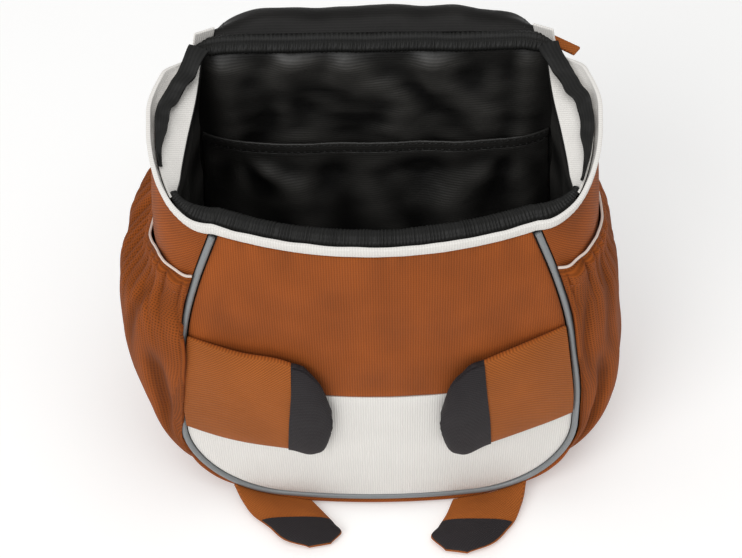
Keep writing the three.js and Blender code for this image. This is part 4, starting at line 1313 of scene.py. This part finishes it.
class BACKPACK_OT_pockets(bpy.types.Operator):
    """Brown side pockets, gathered by their pale elastic trim."""

    bl_idname = "backpack.pockets"
    bl_label = "Side Pockets"

    def execute(self, context):
        sizes = context.scene.backpack_sizes
        gather, fold = sizes.pocket_gather * 1000, sizes.pocket_fold * 1000
        for key, side in SIDES.items():

            def pocket(u, v):
                run = mix((RIM_Z - POCKET_TOP[key]) / SIDE_TALL, 0.9, v)
                start, end = clear_of(run, seam=0, distance=2.2), clear_of(run, seam=1, distance=4)
                dip = HEM_DIP[key] * step(u, 0, 0.3) + REAR_DIP[key] * step(u, 0.2, 0.42)
                dip = dip / SIDE_TALL * (1 - step(v, 0, 0.4))
                skin = side_point(run + dip, mix(start, end, ease(u)))
                seam = 2 * GAP + 1.6
                fill = between_seams(ease(u), 5)
                mouth = mix(0.4, 0.0, step(u, 0.08, 0.22))
                open_out = mix(mouth, 1, step(v, 0, 0.2))
                off = seam + (POCKET(key, skin[..., 2]) - seam) * fill * open_out * (1 - step(v, 0.88, 1))
                over = PIPING_COVER[key] * dent(u - 0.08, 0.09) * step(v, 0, 0.4) * (1 - step(v, 0.58, 0.97))
                lean = stack(over * step(u, 0, 0.06), 0.6 * over * step(u, 0, 0.05), 0)
                full = skin + facing(skin, (1, 0, 0)) * off[..., None] - lean
                return mirrored(side, full)

            def pocket_relief(u, v, points):
                held = step(u, 0, 0.06) * step(1 - u, 0, 0.1) * (1 - step(v, 0.85, 1))
                steps = np.linalg.norm(np.diff(points, axis=1), axis=2)
                along_hem = np.pad(np.cumsum(steps, axis=1), ((0, 0), (1, 0)))
                puffs = np.sqrt(np.maximum(gathers(along_hem / 100, 11, 30 + side), 0))
                ruffle = step(v, 0, 0.03) * np.exp(-v / 0.13) * puffs
                drift = 0.03 * waves(v * 4, 32 + side)
                creases = np.zeros_like(u)
                for place, wide, deep, low, high in POCKET_CREASES[key]:
                    run = step(v, low, low + 0.2) * (1 - step(v, high, high + 0.2))
                    creases += deep * run * dent(u - place - drift, wide)
                soft = 0.5 * hills(u * 12, v * 4, 1.0, 34 + side)
                return held * (gather * 3.2 * ruffle + fold * (soft - creases))

            cloth = Cloth(pocket, 170, 120, (side, 0, 0), pocket_relief)
            brown = woven_polyester_brown("open")
            edge = cloth.line(row=0, lift=-0.55)[1:-1] + np.array((0, 0, 0.5))
            section = round_section(TRIM_RADIUS)
            made = roll(f"pocket_hem_{key}_elastic", edge, section, around=10, rows=160, up=(0, 0, 1))
            dress(made, [f"pocket_hem_{key}"], elastic_trim())
            thread = stitching(f"pocket_{key}_stitching", [cloth.line(row=8, lift=THREAD_LIFT)], "brown")
            under, sewn = [f"side_{key}"], [made, thread]
            panel(f"pocket_{key}", cloth, POCKET_THICK, brown, under, sewn)
        return {"FINISHED"}


def arm_point(key, run, across):
    """A place on an arm, out from the front panel."""
    shape = ARMS[key]
    z = shape("middle", run) + across * shape("half", run)
    x = mix(FRONT("half", z) - EDGE, ARM_TIP_X[key], run)
    soft = (1 - across**2) * step(run, 0, 0.2) * (0.7 * hills(x, z, 26, 36) + 0.3 * hills(x, z, 11, 37))
    return mirrored(SIDES[key], stack(x, front_y(x, z) - arm_lift(run, across) - soft, z))


def arm_lift(run, across):
    """How far the top of an arm stands off the front: less towards its edges."""
    return ARM_LIFT("lift", run) * (1 - 0.4 * across**4)


def patch_on(made, cloth, out, start, end, inset, slant):
    """A thin patch sewn over the end of a stuffed flap, with its near edge a little on the slant."""
    under = surface_of(made, cloth)

    def face(u, v):
        return under(mix(inset, 1 - inset, u), mix(start + slant * (u - 0.5), end, v)) + np.array(out)

    return Cloth(face, 48, 44, out)


class BACKPACK_OT_arms(bpy.types.Operator):
    """Stuffed arm flaps with dark ends."""

    bl_idname = "backpack.arms"
    bl_label = "Arms"

    def execute(self, context):
        out = (0, -1, 0)
        for key in SIDES:

            def flap(u, v):
                return arm_point(key, v, 2 * u - 1)

            cloth = Cloth(flap, 44, 60, out)
            stuffing = arm_lift(cloth.v, 2 * cloth.u - 1) - ARM_LIFT("under", cloth.v)
            made = sew(f"arm_{key}_flap", cloth, stuffing, cuts=3, dark_from=PAW_START[key] + 0.02)
            plump(made, cloth, ARM_SWELL)
            dress(made, [f"arm_{key}"], woven_polyester_brown("slant"))
            dark = woven_polyester_dark()
            made.data.materials.append(dark)
            paw = patch_on(made, cloth, out, start=PAW_START[key], end=0.99, inset=0.005, slant=0.05)
            panel(f"paw_{key}", paw, PATCH_THICK, dark, [f"arm_{key}"])
        return {"FINISHED"}


def foot_point(key, run, across):
    """A place on top of a foot."""
    shape = FEET[key]
    x = mix(shape("outer_x", run), shape("inner_x", run), across)
    y = mix(shape("outer_y", run), shape("inner_y", run), across)
    corner_x = FRONT_LINE.at(np.array(1.0))[0]
    past = np.maximum(mix(shape("outer_x", 0), shape("inner_x", 0), across) - corner_x, 0)
    root = FRONT_LINE.bend - np.sqrt(FRONT_LINE.corner**2 - past**2) - PIPING_RADIUS - GAP
    puff = 1 - 0.6 * (2 * across - 1) ** 4
    body = mix(2.2, 8.5, np.sqrt(1 - np.clip((run - 0.7) / 0.3, 0, 1) ** 2) * puff)
    soft = between_seams(across, 2) * step(run, 0, 0.3) * 0.5 * hills(x, y, 16, 38)
    return mirrored(SIDES[key], stack(x, y, mix(root, body, step(run, 0, 0.4)) + soft))


class BACKPACK_OT_feet(bpy.types.Operator):
    """Stuffed foot flaps that lie on the floor, with dark toes."""

    bl_idname = "backpack.feet"
    bl_label = "Feet"

    def execute(self, context):
        out = (0, 0, 1)
        for key in SIDES:

            def flap(u, v):
                return foot_point(key, v, u)

            cloth = Cloth(flap, 36, 50, out)
            full = np.maximum(cloth.outer[..., 2] - 0.4, 1.0)
            made = sew(f"foot_{key}_flap", cloth, mix(2.6, full, step(cloth.v, 0, 0.4)), cuts=3)
            plump(made, cloth, FOOT_SWELL)
            dress(made, [f"foot_{key}"], woven_polyester_brown("slant"))
            toe = patch_on(made, cloth, out, start=TOE_START, end=0.995, inset=0.008, slant=0.0)
            dark = woven_polyester_dark()
            panel(f"toe_{key}", toe, PATCH_THICK, dark, [f"foot_{key}"])
        return {"FINISHED"}


def lid_point(u, v):
    """Outer side of the thrown-back lid's lining."""
    across = 2 * u - 1
    droop = LID("droop", v) * across**4
    slope = step(v, 0.05, 0.17)
    shoulder = 15 * np.abs(across) ** 9 * step(v, 0.01, 0.08) * (1 - step(v, 0.2, 0.42))
    z = LID("z", v) - droop * (1 - slope) - shoulder
    return stack(across * LID("half", v), LID("y", v) - droop * slope, z)


class BACKPACK_OT_lid(bpy.types.Operator):
    """Lid with its black lining outwards, its white corners and the small brown tab."""

    bl_idname = "backpack.lid"
    bl_label = "Lid"

    def execute(self, context):
        sizes = context.scene.backpack_sizes

        def relief(u, v, points):
            x, z = points[..., 0], points[..., 2]
            held = between_seams(u, 8) * step(v, 0, 0.06) * step(1 - v, 0, 0.08)
            soft = 0.7 * hills(x, z, 44, 39) + 0.35 * hills(x, z, 18, 40)
            return np.maximum(held * sizes.lining_wrinkle * 1000 * soft, -0.9)

        out = np.array((0, 1, 0.3))
        cloth = Cloth(lid_point, 96, 130, out, relief)
        panel("lid_lining", cloth, LINING_THICK, lid_nylon(), ["back_panel"])
        left, right = (cloth.line(column=k, lift=THREAD_LIFT) for k in (4, -5))
        low = cloth.line(row=-5, lift=THREAD_LIFT)[4:-4]
        stitching("lid_stitching", [np.concatenate([left, low, right[::-1]])], "black")
        smooth = Cloth(lid_point, 70, 96, out)
        under = Cloth(lambda u, v: smooth.outer - smooth.normal * 2.35, 70, 96, -out)
        brown = woven_polyester_brown("straight")
        panel("lid_cover", under, -3.0, brown, ["back_panel"])
        for key, side in SIDES.items():

            def corner(u, v):
                start, end = np.array((102, 72.5, 243)), np.array((91.5, 80, 243))
                tall = 15.5 - 2.5 * u
                lean = 0.6 * np.sin(np.pi * v)
                return mirrored(side, mix(start, end, u[..., None]) + stack(-3 * v, -lean, v * tall))

            flap = Cloth(corner, 16, 14, (side, 1, 0))
            white = woven_polyester_white()
            panel(f"lid_corner_{key}", flap, CORNER_THICK, white, ["rim_band"])

        def tab(u, v):
            root = np.array((98.9, 79, 245))
            ahead, aside = np.array((0.81, -0.58, 0)), np.array((0.58, 0.81, 0))
            return root + ahead * v[..., None] * 17 + aside * (2 * u - 1)[..., None] * 3.4

        cloth = Cloth(tab, 8, 24, (0, 0, 1))
        tape = sew("side_tab_tape", cloth, TAB_THICK)
        dress(tape, ["side_tab"], woven_polyester_brown("slant"))
        return {"FINISHED"}


class BACKPACK_OT_straps(bpy.types.Operator):
    """Padded shoulder straps, their webbing and adjusters, and the grab loop."""

    bl_idname = "backpack.straps"
    bl_label = "Straps"

    def execute(self, context):
        brown, black = woven_polyester_brown("straight"), woven_webbing()
        lines = []
        for key, side in SIDES.items():

            def strap(u, v):
                across = 2 * u - 1
                crown = 0.8 * (1 - across**4) * step(np.minimum(v, 1 - v), 0, 0.08)
                x = STRAP("x", v) + across * STRAP("half", v)
                return stack(side * x, STRAP("y", v) - across**4 + crown, STRAP("z", v))

            cloth = Cloth(strap, 36, 90, (0, 1, 0.3))
            made = dress(sew(f"strap_{key}_pad", cloth, STRAP_THICK), [f"strap_{key}"], brown)
            made.modifiers["Rounded edge"].width = 0.0018
            made.modifiers["Rounded edge"].segments = 3
            lines += [cloth.line(column=k, lift=THREAD_LIFT) for k in (4, -5)]

            def web(u, v):
                across = 2 * u - 1
                return stack(side * (WEB("x", v) + across * 10), WEB("y", v), WEB("z", v) + across * 4)

            cloth = Cloth(web, 12, 70, (0, 1, 0.2))
            ends = [f"strap_{key}", "back_panel"]
            panel(f"webbing_{key}", cloth, WEB_THICK, black, ends)
            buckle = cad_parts[f"adjuster_{key}"]
            buckle.data.materials.clear()
            buckle.data.materials.append(moulded_plastic())
            weld = buckle.modifiers.new("Joined corners", "WELD")
            weld.merge_threshold = 1e-6
            soften(buckle, 0.6)
        stitching("strap_stitching", lines, "brown")

        def loop(u, v):
            angle = mix(-np.pi / 2, np.pi / 2, v)
            reach = 14 * np.maximum(np.cos(angle), 0) ** 0.6
            return stack(28 * np.sin(angle), 76.6 + reach, 245 + (u - 1) * 14)

        cloth = Cloth(loop, 12, 60, (0, 1, 0))
        panel("grab_loop", cloth, LOOP_THICK, brown, ["back_panel"])
        return {"FINISHED"}


class BACKPACK_OT_stage(bpy.types.Operator):
    """Pale floor, soft studio light and the camera."""

    bl_idname = "backpack.stage"
    bl_label = "Studio"

    # Camera: where it looks and how it stands, in millimetres and degrees, and its focal length in pixels
    target = (0.0, 0.0, 130.0)
    distance = 1000.0
    height_angle = 51.8
    yaw = 0.7
    tilt = -1.2
    focal_pixels = 1718.6
    centre_pixels = 6.2
    image_wide = 742
    sensor_wide = 36
    # Lamps: name, place in metres, size in metres, power in watts; and the place that they face
    lamps = (
        ("key", (-1.2, -1.6, 1.9), 1.5, 24.5),
        ("fill", (1.7, -1.1, 1.2), 1.5, 1),
        ("top", (0.1, -0.3, 2.2), 1.8, 18),
    )
    lit_place = (0, 0, 0.13)
    # Strength of the surroundings as light and as seen by the camera
    glow_light = 0.4
    glow_seen = 0.6
    # Floor: half its width, and how far it lies below the bag, in metres
    floor_half = 12.0
    floor_drop = 0.0004

    def execute(self, context):
        scene = context.scene
        bm = bmesh.new()
        bmesh.ops.create_grid(bm, x_segments=1, y_segments=1, size=self.floor_half)
        bmesh.ops.translate(bm, verts=bm.verts[:], vec=(0, 0, -self.floor_drop))
        floor = finish_mesh("floor", bm)
        floor.data.materials.append(studio_floor())
        self.place_camera(scene)
        for name, spot, size, power in self.lamps:
            lamp = bpy.data.lights.new(name, "AREA")
            lamp.size, lamp.energy = size, power
            made = bpy.data.objects.new(name, lamp)
            made.location = spot
            ahead = Vector(self.lit_place) - Vector(spot)
            made.rotation_euler = ahead.to_track_quat("-Z", "Y").to_euler()
            scene.collection.objects.link(made)
        scene.world = bpy.data.worlds.new("Studio")
        scene.world.use_nodes = True
        tree = scene.world.node_tree
        glow = tree.nodes["Background"]
        glow.inputs["Color"].default_value = (1, 1, 1, 1)
        ray = add(tree, "ShaderNodeLightPath").outputs["Is Camera Ray"]
        ends = {0: ray, 3: self.glow_light, 4: self.glow_seen}
        tree.links.new(add(tree, "ShaderNodeMapRange", ends).outputs[0], glow.inputs["Strength"])
        scene.view_settings.view_transform = "Standard"
        return {"FINISHED"}

    def place_camera(self, scene):
        """Sets the camera up at the photograph's angle."""
        lens = bpy.data.cameras.new("camera")
        lens.sensor_width = self.sensor_wide
        lens.lens = self.focal_pixels * lens.sensor_width / self.image_wide
        lens.shift_x = -self.centre_pixels / self.image_wide
        angle, yaw, tilt = (math.radians(part) for part in (self.height_angle, self.yaw, self.tilt))
        back = Vector((math.sin(yaw) * math.cos(angle), -math.cos(yaw) * math.cos(angle), math.sin(angle)))
        right = Vector((math.cos(yaw), math.sin(yaw), 0))
        up = back.cross(right)
        aside = math.cos(tilt) * right + math.sin(tilt) * up
        high = math.cos(tilt) * up - math.sin(tilt) * right
        made = bpy.data.objects.new("camera", lens)
        turned = Matrix((aside, high, back)).transposed().to_4x4()
        spot = Vector(to_frame(np.array(self.target))) + back * self.distance / 1000
        made.matrix_world = Matrix.Translation(spot) @ turned
        scene.collection.objects.link(made)
        scene.camera = made


class BACKPACK_PT_panel(bpy.types.Panel):
    """Lists the backpack's pieces in the sidebar."""

    bl_idname = "BACKPACK_PT_panel"
    bl_label = "Backpack"
    bl_space_type = "VIEW_3D"
    bl_region_type = "UI"
    bl_category = "Backpack"

    def draw(self, context):
        for operator in OPERATORS:
            self.layout.operator(operator.bl_idname)
        for group in (context.scene.backpack_sizes, context.scene.backpack_colours):
            for key in group.__annotations__:
                self.layout.prop(group, key)


OPERATORS = (
    BACKPACK_OT_front,
    BACKPACK_OT_body,
    BACKPACK_OT_piping,
    BACKPACK_OT_rim,
    BACKPACK_OT_channels,
    BACKPACK_OT_lining,
    BACKPACK_OT_pockets,
    BACKPACK_OT_arms,
    BACKPACK_OT_feet,
    BACKPACK_OT_lid,
    BACKPACK_OT_straps,
    BACKPACK_OT_stage,
)
CLASSES = (BackpackSizes, BackpackColours, *OPERATORS, BACKPACK_PT_panel)


def register():
    for made in CLASSES:
        bpy.utils.register_class(made)
    bpy.types.Scene.backpack_sizes = PointerProperty(type=BackpackSizes)
    bpy.types.Scene.backpack_colours = PointerProperty(type=BackpackColours)


def unregister():
    del bpy.types.Scene.backpack_colours
    del bpy.types.Scene.backpack_sizes
    for made in reversed(CLASSES):
        bpy.utils.unregister_class(made)


def main():
    """Makes every piece in order."""
    register()
    for operator in OPERATORS:
        group, name = operator.bl_idname.split(".")
        getattr(getattr(bpy.ops, group), name)()


if __name__ == "__main__":
    main()
